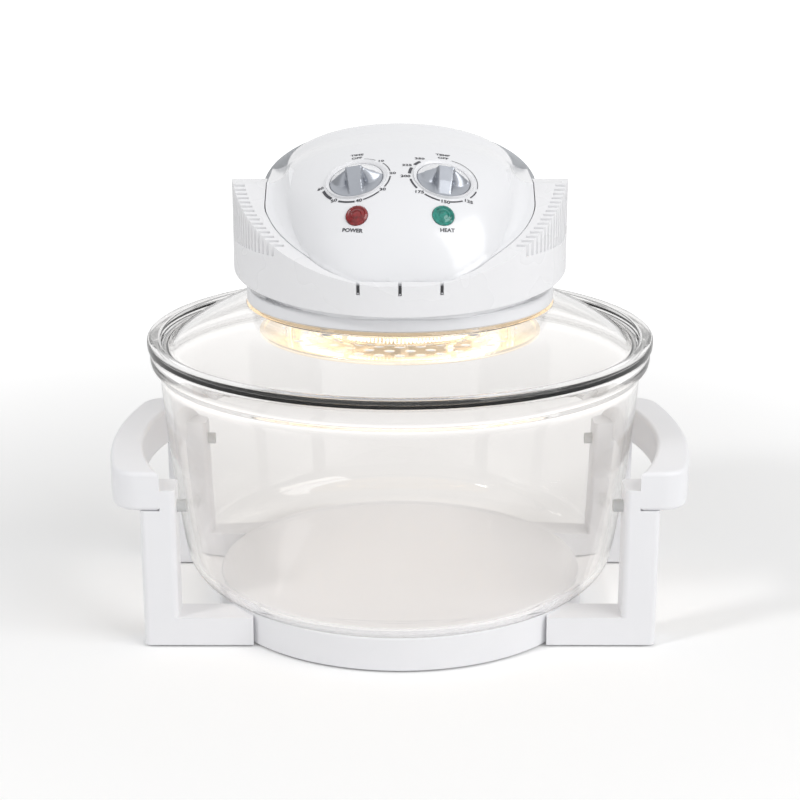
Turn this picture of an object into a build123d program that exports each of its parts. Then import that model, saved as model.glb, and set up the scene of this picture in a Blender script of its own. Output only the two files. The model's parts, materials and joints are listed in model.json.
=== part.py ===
"""Glass-bowl halogen oven with a lift-off lid and a folding carry handle.

Sizes are millimetres. +X is to the right, +Y to the back and +Z up. The origin is on the table,
under the middle of the bowl. The control panel faces -Y.
"""
import os
from math import asin, atan2, cos, degrees, pi, radians, sin, sqrt

from build123d import *

os.makedirs("parts", exist_ok=True)

# Stand
pad_height = 1.5            # how far the rubber pads stand proud of the plastic
pad_thickness = 3.0
pad_radius = 7.0
pedestal_margin = 5.0       # how far the pedestal reaches past the bowl's flat bottom
pedestal_top = 23.5
pedestal_wall = 3.0
rib_thickness = 2.4
rib_count = 8
foot_face = 84.0            # outer face of the foot bars, from the middle plane
foot_depth = 24.0
foot_bar_height = 18.5
foot_bar_overlap = 28.8     # how far a foot bar runs in under the pedestal's edge
upright_margin = 6.7        # how far the uprights' outer faces stand outside the bowl's top
upright_width = 22.5
upright_tab = 13.4          # how far an upright rises behind a grip
leg_corner_radius = 4.0
grip_bottom = 92.6
grip_thickness = 25.8
grip_depth = 26.3           # how far a grip stands out from the uprights
grip_end_depth = 14.3       # the same where its outer curve would meet the front face
grip_gap_depth = 5.6        # the same for the deepest point of the finger gap
grip_gap_mouth = 13.1       # how far inside the uprights' face the finger gap starts
grip_corner_radius = 18.0
grip_edge_radius = 3.0
peg_radius = 5.0
peg_height = 10.0
peg_clearance = 0.1
bumper_radius = 4.0
bumper_drop = 0.6           # axis of the bumpers below the grips' underside
bumper_inset = 13.0         # axis of the bumpers behind the foot bars' outer face
bumper_socket = 3.0
bumper_clearance = 0.4
leg_screw_radius = 2.0
leg_screw_length = 20.0
leg_boss_wall = 28.3        # from the screw heads' seats to the pedestal's inner wall
screw_head = 2.4
screw_clearance = 0.1
thread_clearance = 0.05

# Bowl
glass_wall = 5.0
bowl_corner_radius = 26.0
bowl_corner_centre = 117.8  # distance of the corner's centre from the axis
bowl_top_radius = 157.3
bowl_bulge = 1.5
rim_flange_width = 6.2
rim_height = 183.2
rim_band = 18.2             # from the rim down to where the wall starts to turn out
rim_flange_height = 10.2

# Lid
lid_gap = 0.3               # between the lid's flange and the bowl's rim
lid_overhang = 1.5
lid_flange_thickness = 5.6
lid_flange_width = 7.5
lid_glass = 4.5
lid_lip_clearance = 0.8
dome_radius = 133.0
dome_centre_inset = 86.2    # from the lip in to the centre of the dome's curve
dome_centre_drop = 101.4    # from the lid's underside down to that centre
lid_opening_width = 6.2     # width of the seat round the lid's opening

# Seal, collar and clamp
gasket_thickness = 0.9
gasket_inset = 0.6
collar_radius = 99.8
collar_height = 8.3
collar_plate = 3.0
collar_wall = 4.0
clamp_thickness = 2.0
clamp_reach = 9.0           # how far the clamp ring reaches in from the lid's opening
clamp_margin = 2.5
clamp_circle_inset = 5.0
clamp_boss_radius = 4.2
clamp_screw_radius = 1.75
clamp_screw_length = 10.0
clamp_screw_count = 6

# Heater
guard_clearance = 1.7       # between the guard's rim and the lid's opening, in plan
guard_rim = 3.0
guard_drop = 18.6           # from the heat shield down to the perforated sheet
guard_sheet = 0.8
guard_hole_radius = 3.4
guard_ring_step = 12.0
guard_rings = 5
guard_post_inset = 3.5
guard_post_radius = 2.5
guard_post_angle = 29.0
shield_clearance = 0.5
shield_sheet = 0.8
shield_rise = 1.25          # from the clamp ring's top up to the heat shield
shield_rim = 3.0
spacer_radius = 3.5
spacer_circle = 60.0
tube_ring_radius = 62.0
tube_radius = 5.5
tube_wall = 1.2
tube_drop = 10.0            # from the heat shield down to the tube's axis
tube_gap_angle = 16.0       # half of the ring's open angle
filament_radius = 2.3
end_cap_length = 12.0
end_cap_width = 13.0
clip_clearance = 0.1
clip_wall = 1.0
clip_width = 4.0

# Head shells
shell_wall = 2.8
pod_half_width = 75.5
pod_overhang = 3.2          # how far the panel's front would reach past the collar
pod_plan_power = 2.6
pod_nose_cut = 1.5          # the flat at the very front of the panel
pod_back = 40.0             # where the front shell meets the rear cover
brow_y = -60.0              # where the panel's crown turns down into its brow
dial_y = -56.8
brow_rise = 79.05           # from the collar's top up to the panel's middle line there
brow_slope = 24.5
crown_radius = 198.0
brow_radius = 71.5
ramp_slope = 0.565          # rise of the handle's top towards the back
ramp_front_rise = 21.05     # from the collar's top up to the handle's top in front
ramp_front_y = -106.5
ear_rise = 68.55            # from the collar's top up to the ears' tops
panel_step = 3.0            # how far the panel's side stands below the handle's top
skirt_limit = 83.0          # half of the shell's width beside the panel, at the ears
skirt_shoulder = -38.0      # where the skirt starts to draw in towards the front
skirt_front = -88.0
skirt_power = 1.9
skirt_tuck = 1.2
cove_rim = 1.0
cove_sink = 0.4
cove_tuck = 5.0
cove_rise = 8.5
shoulder_front = 31.0       # front face of the shoulders behind the handle's ears
shoulder_inset = 4.2
shoulder_base_rise = 42.55
shoulder_rise = 54.0
cover_inset = 0.3
cover_base_rise = 53.0
cover_rise = 47.5
cover_seam = 0.3
vent_count = 9
vent_width = 3.0
vent_height = 22.0
vent_pitch = 7.0
vent_rise = 50.55
boss_radius = 5.5
boss_height = 18.0
boss_bite = 1.0             # how far the front bosses run into the skirt's wall
front_boss_y = -55.0
side_boss_y = 20.0
rear_boss_inset = 8.0
rear_boss_angle = 53.0
housing_screw_radius = 1.75
housing_screw_length = 14.0

# Dials and lights
dial_x = 27.0
knob_radius = 16.2
knob_height = 12.0
knob_skirt = 2.4
knob_bar_width = 9.0
scoop_radius = 9.0
knob_bar_back = 6.5         # how far the bar reaches behind the knob's middle
recess_margin = 2.8
recess_depth = 4.6
knob_float = 0.5
knob_cap = 2.5
dial_shaft_radius = 3.0
dial_shaft_clearance = 0.6
running_gap = 0.05
timer_size = 30.0
timer_depth = 20.0
shaft_socket = 7.0
lens_x = 26.0
lens_y = -82.5
lens_radius = 6.9
lens_proud = 1.4
lens_depth = 4.5
lens_clearance = 0.1
lamp_radius = 3.0
lamp_length = 10.0

# Carry handle
handle_overhang = 7.7       # how far the handle stands out past the collar
handle_wall = 3.0
handle_gap = 1.4
handle_lift = 2.15          # gap between the handle's front and the collar
handle_bottom_slope = 0.1
pivot_rise = 40.55
pivot_radius = 5.0
ear_peak_back = -6.0
ear_back = 24.0
groove_count = 15
groove_pitch = 3.55
groove_first = -24.7
groove_width = 1.8
groove_depth = 1.8
groove_reach = 7.0
groove_bottom_rise = 32.55
slot_spacing = 25.0
slot_width = 2.0
slot_depth = 5.6
cam_radius = 7.5
cam_offset = 1.5
cam_length = 6.0
pin_head = 2.0
pivot_boss_length = 4.5
pivot_boss_gap = 0.3

# Motor, fans and switch
shaft_radius = 3.0
shaft_top_rise = 50.8
motor_radius = 27.0
motor_height = 34.6
warm_fan_radius = 48.0
warm_fan_gap = 3.5          # between the lower fan and the heat shield
warm_fan_height = 8.0
cool_fan_radius = 30.0
cool_fan_gap = 3.0          # between the upper fan and the motor
cool_fan_height = 9.0
fan_blades = 8
hub_radius = 8.0
plunger_radius = 1.6
plunger_gap = 0.5
plunger_reach = 3.0
plunger_socket = 5.5
switch_x = -73.0
switch_width = 11.0
switch_length = 20.0

# Mains inlet
inlet_width = 27.0
inlet_height = 20.0
inlet_rise = 22.55
inlet_depth = 19.0
inlet_flange = 2.4
inlet_rim = 2.2
inlet_wall = 1.6
inlet_clearance = 0.2
socket_depth = 15.0
pin_spacing = 7.0
pin_length = 9.0

# Places that follow from the sizes above
pedestal_radius = bowl_corner_centre + pedestal_margin
foot_bar_top = pad_height + foot_bar_height
foot_bar_start = pedestal_radius - foot_bar_overlap
leg_boss_start = pedestal_radius - pedestal_wall - leg_boss_wall
foot_mid = foot_face - foot_depth / 2
upright_face = bowl_top_radius + upright_margin
upright_inner = upright_face - upright_width
upright_mid = upright_face - upright_width / 2
upright_tab_top = grip_bottom + upright_tab
grip_reach = upright_face + grip_depth
grip_end_reach = upright_face + grip_end_depth
grip_gap_reach = upright_face + grip_gap_depth
grip_gap_start = upright_face - grip_gap_mouth
bumper_height = grip_bottom - bumper_drop
bumper_y = foot_face - bumper_inset
rim_flange_radius = bowl_top_radius + rim_flange_width
bowl_straight_top = rim_height - rim_band
rim_flange_bottom = rim_height - rim_flange_height
rim_inner = bowl_top_radius - glass_wall + 0.3
lid_underside = rim_height + lid_gap
lid_top = lid_underside + lid_flange_thickness
lid_radius = rim_flange_radius + lid_overhang
lid_lip_radius = rim_inner - lid_lip_clearance
dome_centre_radius = lid_lip_radius - dome_centre_inset
dome_centre_height = lid_underside - dome_centre_drop
lid_seat_radius = collar_radius - gasket_inset
lid_opening_radius = lid_seat_radius - lid_opening_width
clamp_inner_radius = lid_opening_radius - clamp_reach
clamp_outer_radius = lid_seat_radius - clamp_margin
clamp_circle = lid_opening_radius - clamp_circle_inset
guard_radius = lid_opening_radius - guard_clearance
shield_radius = clamp_inner_radius - shield_clearance
guard_post_circle = shield_radius - guard_post_inset
handle_radius = collar_radius + handle_overhang
pod_front_reach = collar_radius + pod_overhang
pod_nose = pod_front_reach - pod_nose_cut
shoulder_radius = collar_radius - shoulder_inset
cover_radius = collar_radius - cover_inset
recess_radius = knob_radius + recess_margin


def dome_height(radius, inset=0.0):
    """Height of the lid's dome at a distance from the axis, or of its underside."""
    reach = dome_radius - inset
    return dome_centre_height + sqrt(reach ** 2 - (radius - dome_centre_radius) ** 2)


lid_seat = dome_height(lid_opening_radius)
clamp_top = lid_seat - lid_glass
clamp_bottom = clamp_top - clamp_thickness
collar_bottom = lid_seat + gasket_thickness
collar_top = collar_bottom + collar_height
plate_bottom = collar_top - collar_plate
shield_level = clamp_top + shield_rise
shield_top = shield_level + shield_sheet
guard_level = shield_level - guard_drop
tube_level = shield_level - tube_drop
brow_crown = collar_top + brow_rise
ramp_front_height = collar_top + ramp_front_rise
ramp_top = collar_top + ear_rise
ramp_peak_y = ramp_front_y + (ramp_top - ramp_front_height) / ramp_slope
shoulder_base = collar_top + shoulder_base_rise
cover_base = collar_top + cover_base_rise
vent_bottom = collar_top + vent_rise
handle_bottom_front = collar_top + handle_lift
pivot_height = collar_top + pivot_rise
groove_bottom = collar_top + groove_bottom_rise
warm_fan_level = shield_level - warm_fan_gap - warm_fan_height
motor_top = collar_top + motor_height
cool_fan_level = motor_top + cool_fan_gap
shaft_bottom = warm_fan_level - 1.5
shaft_top = collar_top + shaft_top_rise
inlet_level = collar_top + inlet_rise


def bowl_outline(inset):
    """Right half of the bowl's outer line, or of its inner line when inset by the wall."""
    radius = bowl_corner_radius - inset
    centre_z = pedestal_top + bowl_corner_radius
    top = (bowl_top_radius - inset, bowl_straight_top)
    lean = atan2(bowl_top_radius - bowl_corner_centre - bowl_corner_radius + 4 * bowl_bulge,
                 bowl_straight_top - centre_z)
    start = (bowl_corner_centre, centre_z - radius)
    turn = pi / 4 - lean / 2
    middle = (bowl_corner_centre + radius * sin(turn), centre_z - radius * cos(turn))
    end = (bowl_corner_centre + radius * cos(lean), centre_z - radius * sin(lean))
    half = ((end[0] + top[0]) / 2 + bowl_bulge, (end[1] + top[1]) / 2)
    return start, middle, end, half, top


crown_centre_y = brow_y + crown_radius * sin(radians(brow_slope))
crown_centre_z = brow_crown - crown_radius * cos(radians(brow_slope))
brow_centre_y = brow_y + brow_radius * sin(radians(brow_slope))
brow_centre_z = brow_crown - brow_radius * cos(radians(brow_slope))


def crown_height(y):
    """Height of the panel along its middle line: a tight curve in front and a wide one behind the dials."""
    if y < brow_y:
        return brow_centre_z + sqrt(brow_radius ** 2 - (y - brow_centre_y) ** 2)
    return crown_centre_z + sqrt(crown_radius ** 2 - (y - crown_centre_y) ** 2)


def ramp_height(y):
    """Height of the handle's sloping top."""
    return min(ramp_top, ramp_front_height + ramp_slope * (y - ramp_front_y))


def half_width(y):
    """Half of the panel's width in plan."""
    if y >= 0:
        return pod_half_width
    return pod_half_width * (1 - (-y / pod_front_reach) ** pod_plan_power) ** (1 / pod_plan_power)


def skirt_half_width(y):
    """Half of the width of the skirt beside the panel, which stands level with the handle's top."""
    share = max(0.0, (skirt_shoulder - y) / (skirt_shoulder - skirt_front))
    return skirt_limit - (skirt_limit - half_width(skirt_front) + skirt_tuck) * share ** skirt_power


def shell_half_width(y):
    """Half of the fixed shell's width, panel or skirt, whichever is wider."""
    return max(half_width(y), skirt_half_width(y)) if y > skirt_front else half_width(y)


def side_height(y):
    """Height where the panel's upright side turns into its domed top."""
    return ramp_height(y) - panel_step


def panel_height(x, y):
    """Height of the panel's surface."""
    rise = crown_height(y) - side_height(y)
    return side_height(y) + rise * sqrt(1 - (x / half_width(y)) ** 2)


def panel_plane(x, y):
    """Plane that touches the panel's surface, its Y axis straight up the slope."""
    step = 0.5
    slope_x = (panel_height(x + step, y) - panel_height(x - step, y)) / (2 * step)
    slope_y = (panel_height(x, y + step) - panel_height(x, y - step)) / (2 * step)
    normal = Vector(-slope_x, -slope_y, 1)
    upwards = Vector(0, normal.Z, -normal.Y)
    return Plane(origin=(x, y, panel_height(x, y)), x_dir=upwards.cross(normal), z_dir=normal)


def pod_form(inset, bottom, back):
    """The control panel's closed form, drawn in by inset."""
    nose = -(pod_nose - inset)
    stations = [nose, -98.0 + inset, -92.0, -82.0, -70.0, -55.0, -35.0, -12.0, 12.0, back]
    with BuildPart() as form:
        for y in stations:
            width = half_width(y - inset if y < -90 else y) - inset
            shoulder = side_height(y) - inset
            rise = crown_height(y - inset if y < -90 else y) - inset - shoulder
            with BuildSketch(Plane.XZ.offset(-y)):
                with BuildLine():
                    EllipticalCenterArc((0, shoulder), width, max(rise, 1.0), 0, arc_size=180)
                    Polyline((-width, shoulder), (-width, bottom), (width, bottom), (width, shoulder))
                make_face()
        loft()
    return form.part


def skirt_form(inset, bottom):
    """The block beside the panel up to the level of the handle's top, drawn in by inset."""
    stations = (skirt_shoulder, -50.0, -60.0, -70.0, -79.0, skirt_front)
    right = [(skirt_half_width(y) - inset, y + inset * (y < skirt_shoulder)) for y in stations]
    back = shoulder_front + 1 + 2 * inset
    with BuildPart() as form:
        with BuildSketch(Plane.XY.offset(bottom)):
            with BuildLine():
                Spline(*right, tangents=[(0, -1), (-1, -0.85)])
                Line(right[-1], (-right[-1][0], right[-1][1]))
                Spline(*[(-x, y) for x, y in right[::-1]], tangents=[(-1, 0.85), (0, 1)])
                Polyline((-right[0][0], right[0][1]), (-right[0][0], back), (right[0][0], back), right[0])
            make_face()
        extrude(amount=ramp_top + 20 - bottom)
        with BuildSketch(Plane.YZ):
            Polygon((ramp_front_y, ramp_front_height - inset), (ramp_peak_y + inset / 2, ramp_top - inset),
                    (back + 1, ramp_top - inset), (back + 1, bottom - 1), (ramp_front_y, bottom - 1),
                    align=None)
        extrude(amount=skirt_limit + 5, both=True, mode=Mode.INTERSECT)
    return form.part


def cove_section(y):
    """Section of the hollow curve that leads from the skirt up to the panel."""
    outer = skirt_half_width(y) - cove_rim
    inner = half_width(y) - cove_tuck
    low = ramp_height(y) - cove_sink
    full_width = skirt_limit - pod_half_width + cove_tuck
    high = ramp_height(y) + cove_rise * min(1.0, (outer - inner) / full_width)
    middle = ((outer + 2 * inner) / 3, low + 0.42 * (high - low))
    with BuildSketch(Plane.XZ.offset(-y)) as section:
        with BuildLine():
            ThreePointArc((outer, low), middle, (inner, high))
            Line((inner, high), (-inner, high))
            ThreePointArc((-inner, high), (-middle[0], middle[1]), (-outer, low))
            Polyline((-outer, low), (-outer, low - cove_rise), (outer, low - cove_rise), (outer, low))
        make_face()
    return section.sketch


def cove_form():
    """The hollow curve beside the panel, sloping in front and level at the ears."""
    with BuildPart() as form:
        loft([cove_section(y) for y in (-76.0, -68.0, -60.0, -50.0, -40.0, -30.0, ramp_peak_y)])
        extrude(cove_section(ramp_peak_y), amount=ramp_peak_y - shoulder_front - 1)
    return form.part


def dome_form(radius, base, rise, bottom, inset):
    """A round upright wall with an elliptical crown."""
    reach = radius - inset
    with BuildPart() as form:
        with BuildSketch(Plane.XZ):
            with BuildLine():
                EllipticalCenterArc((0, base), reach, rise - inset, 0, arc_size=90)
                Polyline((reach, base), (reach, bottom), (0, bottom), (0, base + rise - inset))
            make_face()
        revolve(axis=Axis.Z)
    return form.part


def slab(y_low, y_high):
    """A block that holds everything between two upright planes across the part."""
    span = 400.0
    with BuildPart() as block:
        with Locations((0, (y_low + y_high) / 2, span / 2)):
            Box(span, y_high - y_low, 2 * span)
    return block.part


# Pedestal: a round dish turned over, ribbed underneath
with BuildPart() as pedestal_hollow:
    with BuildSketch(Plane.XY.offset(pad_height)):
        Circle(pedestal_radius - pedestal_wall)
    extrude(amount=pedestal_top - pedestal_wall - pad_height)
    with PolarLocations(0, rib_count, start_angle=180 / rib_count):
        with Locations((pedestal_radius / 2, 0, pedestal_top / 2)):
            Box(pedestal_radius, rib_thickness, pedestal_top, mode=Mode.SUBTRACT)
    with GridLocations(2 * (leg_boss_start + 15), 2 * foot_mid, 2, 2):
        with Locations((0, 0, foot_bar_top / 2)):
            Box(30, 14, foot_bar_top, mode=Mode.SUBTRACT)

with BuildPart() as base_pedestal:
    with BuildSketch(Plane.XY.offset(pad_height)):
        Circle(pedestal_radius)
    extrude(amount=pedestal_top - pad_height)
    fillet(base_pedestal.edges().group_by(Axis.Z)[-1], 2.0)
    add(pedestal_hollow.part, mode=Mode.SUBTRACT)
    for side in (-1, 1):
        for end in (-1, 1):
            with Locations(Plane(origin=(side * (leg_boss_start - 1), end * foot_mid, foot_bar_top / 2),
                                 z_dir=(side, 0, 0))):
                Cylinder(leg_screw_radius + screw_clearance, leg_screw_length + 2,
                         align=(Align.CENTER, Align.CENTER, Align.MIN), mode=Mode.SUBTRACT)
base_pedestal.part.label = "base_pedestal"
export_step(base_pedestal.part, "parts/base_pedestal.step")

# Legs: a foot bar and an upright in one moulding, with a peg for the grip
peg_x = (grip_gap_start + upright_face) / 2 + 1
for side, side_name in ((-1, "left"), (1, "right")):
    with BuildPart() as grip_blank:
        with BuildSketch(Plane.XY.offset(grip_bottom)) as grip_plan:
            with BuildLine():
                ThreePointArc((side * grip_end_reach, -foot_face), (side * grip_reach, 0),
                              (side * grip_end_reach, foot_face))
                Line((side * grip_end_reach, foot_face), (side * grip_gap_start, foot_face))
                ThreePointArc((side * grip_gap_start, foot_face), (side * grip_gap_reach, 0),
                              (side * grip_gap_start, -foot_face))
                Line((side * grip_gap_start, -foot_face), (side * grip_end_reach, -foot_face))
            make_face()
            outer_corners = sorted(grip_plan.vertices(), key=lambda corner: abs(corner.X))[-2:]
            fillet(outer_corners, grip_corner_radius)
        extrude(amount=grip_thickness)

    with BuildPart() as grip:
        add(grip_blank.part)
        fillet(grip.edges().group_by(Axis.Z)[-1], grip_edge_radius)
        fillet(grip.edges().group_by(Axis.Z)[0], grip_edge_radius)
        for end in (-1, 1):
            with Locations((side * peg_x, end * foot_mid, grip_bottom)):
                Cylinder(peg_radius + peg_clearance, peg_height + 0.5, align=(Align.CENTER,
                                                                              Align.CENTER, Align.MIN),
                         mode=Mode.SUBTRACT)
    grip.part.label = f"{side_name}_grip"
    export_step(grip.part, f"parts/{side_name}_grip.step")

    for end, end_name in ((-1, "front"), (1, "rear")):
        with BuildPart() as leg:
            with Locations((side * (foot_bar_start + upright_face) / 2, end * foot_mid,
                            (pad_height + foot_bar_top) / 2)):
                Box(upright_face - foot_bar_start, foot_depth, foot_bar_top - pad_height)
            with Locations((side * upright_mid, end * foot_mid, (pad_height + upright_tab_top) / 2)):
                Box(upright_width, foot_depth, upright_tab_top - pad_height)
            upright_edges = [edge for edge in leg.edges().filter_by(Axis.Z)
                             if abs(edge.center().X) > upright_inner - 1]
            fillet(upright_edges, leg_corner_radius)
            cylinder_height = 2 * pedestal_top
            Cylinder(pedestal_radius, cylinder_height, mode=Mode.SUBTRACT)
            add(grip_blank.part, mode=Mode.SUBTRACT)
            with Locations((side * peg_x, end * foot_mid, grip_bottom)):
                Cylinder(peg_radius, peg_height, align=(Align.CENTER, Align.CENTER, Align.MIN))
            with Locations((side * upright_mid, end * foot_mid, pad_height)):
                Cylinder(pad_radius + peg_clearance, pad_thickness - pad_height,
                         align=(Align.CENTER, Align.CENTER, Align.MIN), mode=Mode.SUBTRACT)
            with Locations(Plane(origin=(side * upright_inner, end * bumper_y, bumper_height),
                                 z_dir=(side, 0, 0))):
                Cylinder(bumper_radius + thread_clearance, bumper_socket, align=(Align.CENTER,
                                                                                 Align.CENTER, Align.MIN),
                         mode=Mode.SUBTRACT)
            with Locations(Plane(origin=(side * leg_boss_start, end * foot_mid, foot_bar_top / 2),
                                 z_dir=(side, 0, 0))):
                Cylinder(leg_screw_radius + thread_clearance, leg_screw_length + 0.5,
                         align=(Align.CENTER, Align.CENTER, Align.MIN), mode=Mode.SUBTRACT)
        leg.part.label = f"{end_name}_{side_name}_leg"
        export_step(leg.part, f"parts/{end_name}_{side_name}_leg.step")

# Rubber pads, bumpers and screws of the stand
with BuildPart() as foot_pads:
    with GridLocations(2 * upright_mid, 2 * foot_mid, 2, 2):
        Cylinder(pad_radius, pad_thickness, align=(Align.CENTER, Align.CENTER, Align.MIN))
foot_pads.part.label = "foot_pads"
export_step(foot_pads.part, "parts/foot_pads.step")

bowl_start, bowl_bend, bowl_end, bowl_half, bowl_top = bowl_outline(0)
bowl_at_bumper = bowl_end[0] + (bowl_half[0] - bowl_end[0]) * (
    (bumper_height + bumper_radius - bowl_end[1]) / (bowl_half[1] - bowl_end[1]))
bumper_tip = sqrt(bowl_at_bumper ** 2 - (bumper_y - bumper_radius) ** 2) + bumper_clearance
with BuildPart() as bowl_bumpers:
    for side in (-1, 1):
        for end in (-1, 1):
            socket_end = (side * (upright_inner + bumper_socket), end * bumper_y, bumper_height)
            with Locations(Plane(origin=socket_end, z_dir=(-side, 0, 0))):
                Cylinder(bumper_radius, upright_inner + bumper_socket - bumper_tip,
                         align=(Align.CENTER, Align.CENTER, Align.MIN))
bowl_bumpers.part.label = "bowl_bumpers"
export_step(bowl_bumpers.part, "parts/bowl_bumpers.step")

with BuildPart() as leg_screws:
    for side in (-1, 1):
        for end in (-1, 1):
            with Locations(Plane(origin=(side * leg_boss_start, end * foot_mid, foot_bar_top / 2),
                                 z_dir=(side, 0, 0))):
                Cylinder(leg_screw_radius, leg_screw_length, align=(Align.CENTER, Align.CENTER, Align.MIN))
                Cylinder(2 * leg_screw_radius, screw_head, align=(Align.CENTER, Align.CENTER, Align.MAX))
leg_screws.part.label = "leg_screws"
export_step(leg_screws.part, "parts/leg_screws.step")

# Glass bowl
inner_start, inner_bend, inner_end, inner_half, inner_top = bowl_outline(glass_wall)
with BuildPart() as glass_bowl:
    with BuildSketch(Plane.XZ):
        with BuildLine():
            Line((0, pedestal_top), bowl_start)
            ThreePointArc(bowl_start, bowl_bend, bowl_end)
            ThreePointArc(bowl_end, bowl_half, bowl_top)
            Spline(bowl_top, (rim_flange_radius, rim_flange_bottom + 2),
                   tangents=[(0.12, 1), (0.3, 1)])
            Line((rim_flange_radius, rim_flange_bottom + 2), (rim_flange_radius, rim_height - 2))
            ThreePointArc((rim_flange_radius, rim_height - 2), (rim_flange_radius - 0.6, rim_height - 0.6),
                          (rim_flange_radius - 2, rim_height))
            Line((rim_flange_radius - 2, rim_height), (rim_inner + 1, rim_height))
            Line((rim_inner + 1, rim_height), (rim_inner, rim_height - 1))
            Line((rim_inner, rim_height - 1), inner_top)
            ThreePointArc(inner_top, inner_half, inner_end)
            ThreePointArc(inner_end, inner_bend, inner_start)
            Line(inner_start, (0, pedestal_top + glass_wall))
            Line((0, pedestal_top + glass_wall), (0, pedestal_top))
        make_face()
    revolve(axis=Axis.Z)
glass_bowl.part.label = "glass_bowl"
export_step(glass_bowl.part, "parts/glass_bowl.step")

# Glass lid: a flat flange, a valley that drops into the bowl, and a dome up to the collar
flange_inner = lid_radius - lid_flange_width
valley_radius = lid_lip_radius - 0.6
arc_end = lid_seat_radius + 1.0
arc_middle = (arc_end + valley_radius) / 2
under_start = lid_lip_radius - 2.8
under_end = lid_seat_radius - 1.5
under_middle = (under_start + under_end) / 2
lip_bottom = dome_height(under_start, lid_glass) - 0.4
with BuildPart() as glass_lid:
    with BuildSketch(Plane.XZ):
        with BuildLine():
            Polyline((lid_radius, lid_underside + 1), (lid_radius, lid_top - 1.5), (lid_radius - 1.5,
                                                                                    lid_top),
                     (flange_inner, lid_top))
            Spline((flange_inner, lid_top), (valley_radius, dome_height(valley_radius)),
                   tangents=[(-1, -0.2), (-1, 0.5)])
            ThreePointArc((valley_radius, dome_height(valley_radius)), (arc_middle, dome_height(arc_middle)),
                          (arc_end, dome_height(arc_end)))
            Polyline((arc_end, dome_height(arc_end)), (lid_seat_radius, lid_seat), (lid_opening_radius,
                                                                                    lid_seat),
                     (lid_opening_radius, clamp_top), (under_end, clamp_top),
                     (under_end, dome_height(under_end, lid_glass)))
            ThreePointArc((under_end, dome_height(under_end, lid_glass)),
                          (under_middle, dome_height(under_middle, lid_glass)),
                          (under_start, dome_height(under_start, lid_glass)))
            Polyline((under_start, dome_height(under_start, lid_glass)), (lid_lip_radius - 1, lip_bottom),
                     (lid_lip_radius, lip_bottom + 0.8), (lid_lip_radius, lid_underside),
                     (lid_radius - 1, lid_underside), (lid_radius, lid_underside + 1))
        make_face()
    revolve(axis=Axis.Z)
glass_lid.part.label = "glass_lid"
export_step(glass_lid.part, "parts/glass_lid.step")

# Seal between the lid's glass and the collar
with BuildPart() as lid_gasket:
    with BuildSketch(Plane.XY.offset(lid_seat)):
        Circle(lid_seat_radius)
        Circle(lid_opening_radius, mode=Mode.SUBTRACT)
    extrude(amount=gasket_thickness)
lid_gasket.part.label = "lid_gasket"
export_step(lid_gasket.part, "parts/lid_gasket.step")

# Collar: the head's base plate
front_boss_x = skirt_half_width(front_boss_y) - shell_wall - boss_radius + boss_bite
side_boss_x = skirt_limit - shell_wall - boss_radius + boss_bite
rear_boss_x = (cover_radius - rear_boss_inset) * cos(radians(rear_boss_angle))
rear_boss_y = (cover_radius - rear_boss_inset) * sin(radians(rear_boss_angle))
housing_bosses = [(-front_boss_x, front_boss_y), (front_boss_x, front_boss_y), (-side_boss_x, side_boss_y),
                  (side_boss_x, side_boss_y), (-rear_boss_x, rear_boss_y), (rear_boss_x, rear_boss_y)]
with BuildPart() as collar_ring:
    with BuildSketch(Plane.XY.offset(collar_bottom)):
        Circle(collar_radius)
    extrude(amount=collar_height)
    fillet(collar_ring.edges().group_by(Axis.Z)[-1], 2.0)
    with BuildSketch(Plane.XY.offset(collar_bottom)):
        Circle(collar_radius - collar_wall)
    extrude(amount=plate_bottom - collar_bottom, mode=Mode.SUBTRACT)
    with BuildSketch(Plane.XY.offset(clamp_top)):
        with PolarLocations(clamp_circle, clamp_screw_count):
            Circle(clamp_boss_radius)
    extrude(amount=plate_bottom - clamp_top)
    with BuildSketch(Plane.XY.offset(clamp_top)):
        with PolarLocations(clamp_circle, clamp_screw_count):
            Circle(clamp_screw_radius + thread_clearance)
    extrude(amount=plate_bottom - clamp_top, mode=Mode.SUBTRACT)
    with BuildSketch(Plane.XY.offset(plate_bottom)):
        Circle(hub_radius)
        with Locations(*housing_bosses):
            Circle(housing_screw_radius + screw_clearance)
    extrude(amount=collar_plate, mode=Mode.SUBTRACT)
collar_ring.part.label = "collar_ring"
export_step(collar_ring.part, "parts/collar_ring.step")

# Clamp ring and its screws
with BuildPart() as clamp_ring:
    with BuildSketch(Plane.XY.offset(clamp_bottom)):
        Circle(clamp_outer_radius)
        Circle(clamp_inner_radius, mode=Mode.SUBTRACT)
        with PolarLocations(clamp_circle, clamp_screw_count):
            Circle(clamp_screw_radius + screw_clearance, mode=Mode.SUBTRACT)
    extrude(amount=clamp_thickness)
clamp_ring.part.label = "clamp_ring"
export_step(clamp_ring.part, "parts/clamp_ring.step")

with BuildPart() as clamp_screws:
    with PolarLocations(clamp_circle, clamp_screw_count):
        with Locations((0, 0, clamp_bottom)):
            Cylinder(clamp_screw_radius, clamp_screw_length, align=(Align.CENTER, Align.CENTER, Align.MIN))
            Cylinder(2 * clamp_screw_radius, screw_head, align=(Align.CENTER, Align.CENTER, Align.MAX))
clamp_screws.part.label = "clamp_screws"
export_step(clamp_screws.part, "parts/clamp_screws.step")

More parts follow.
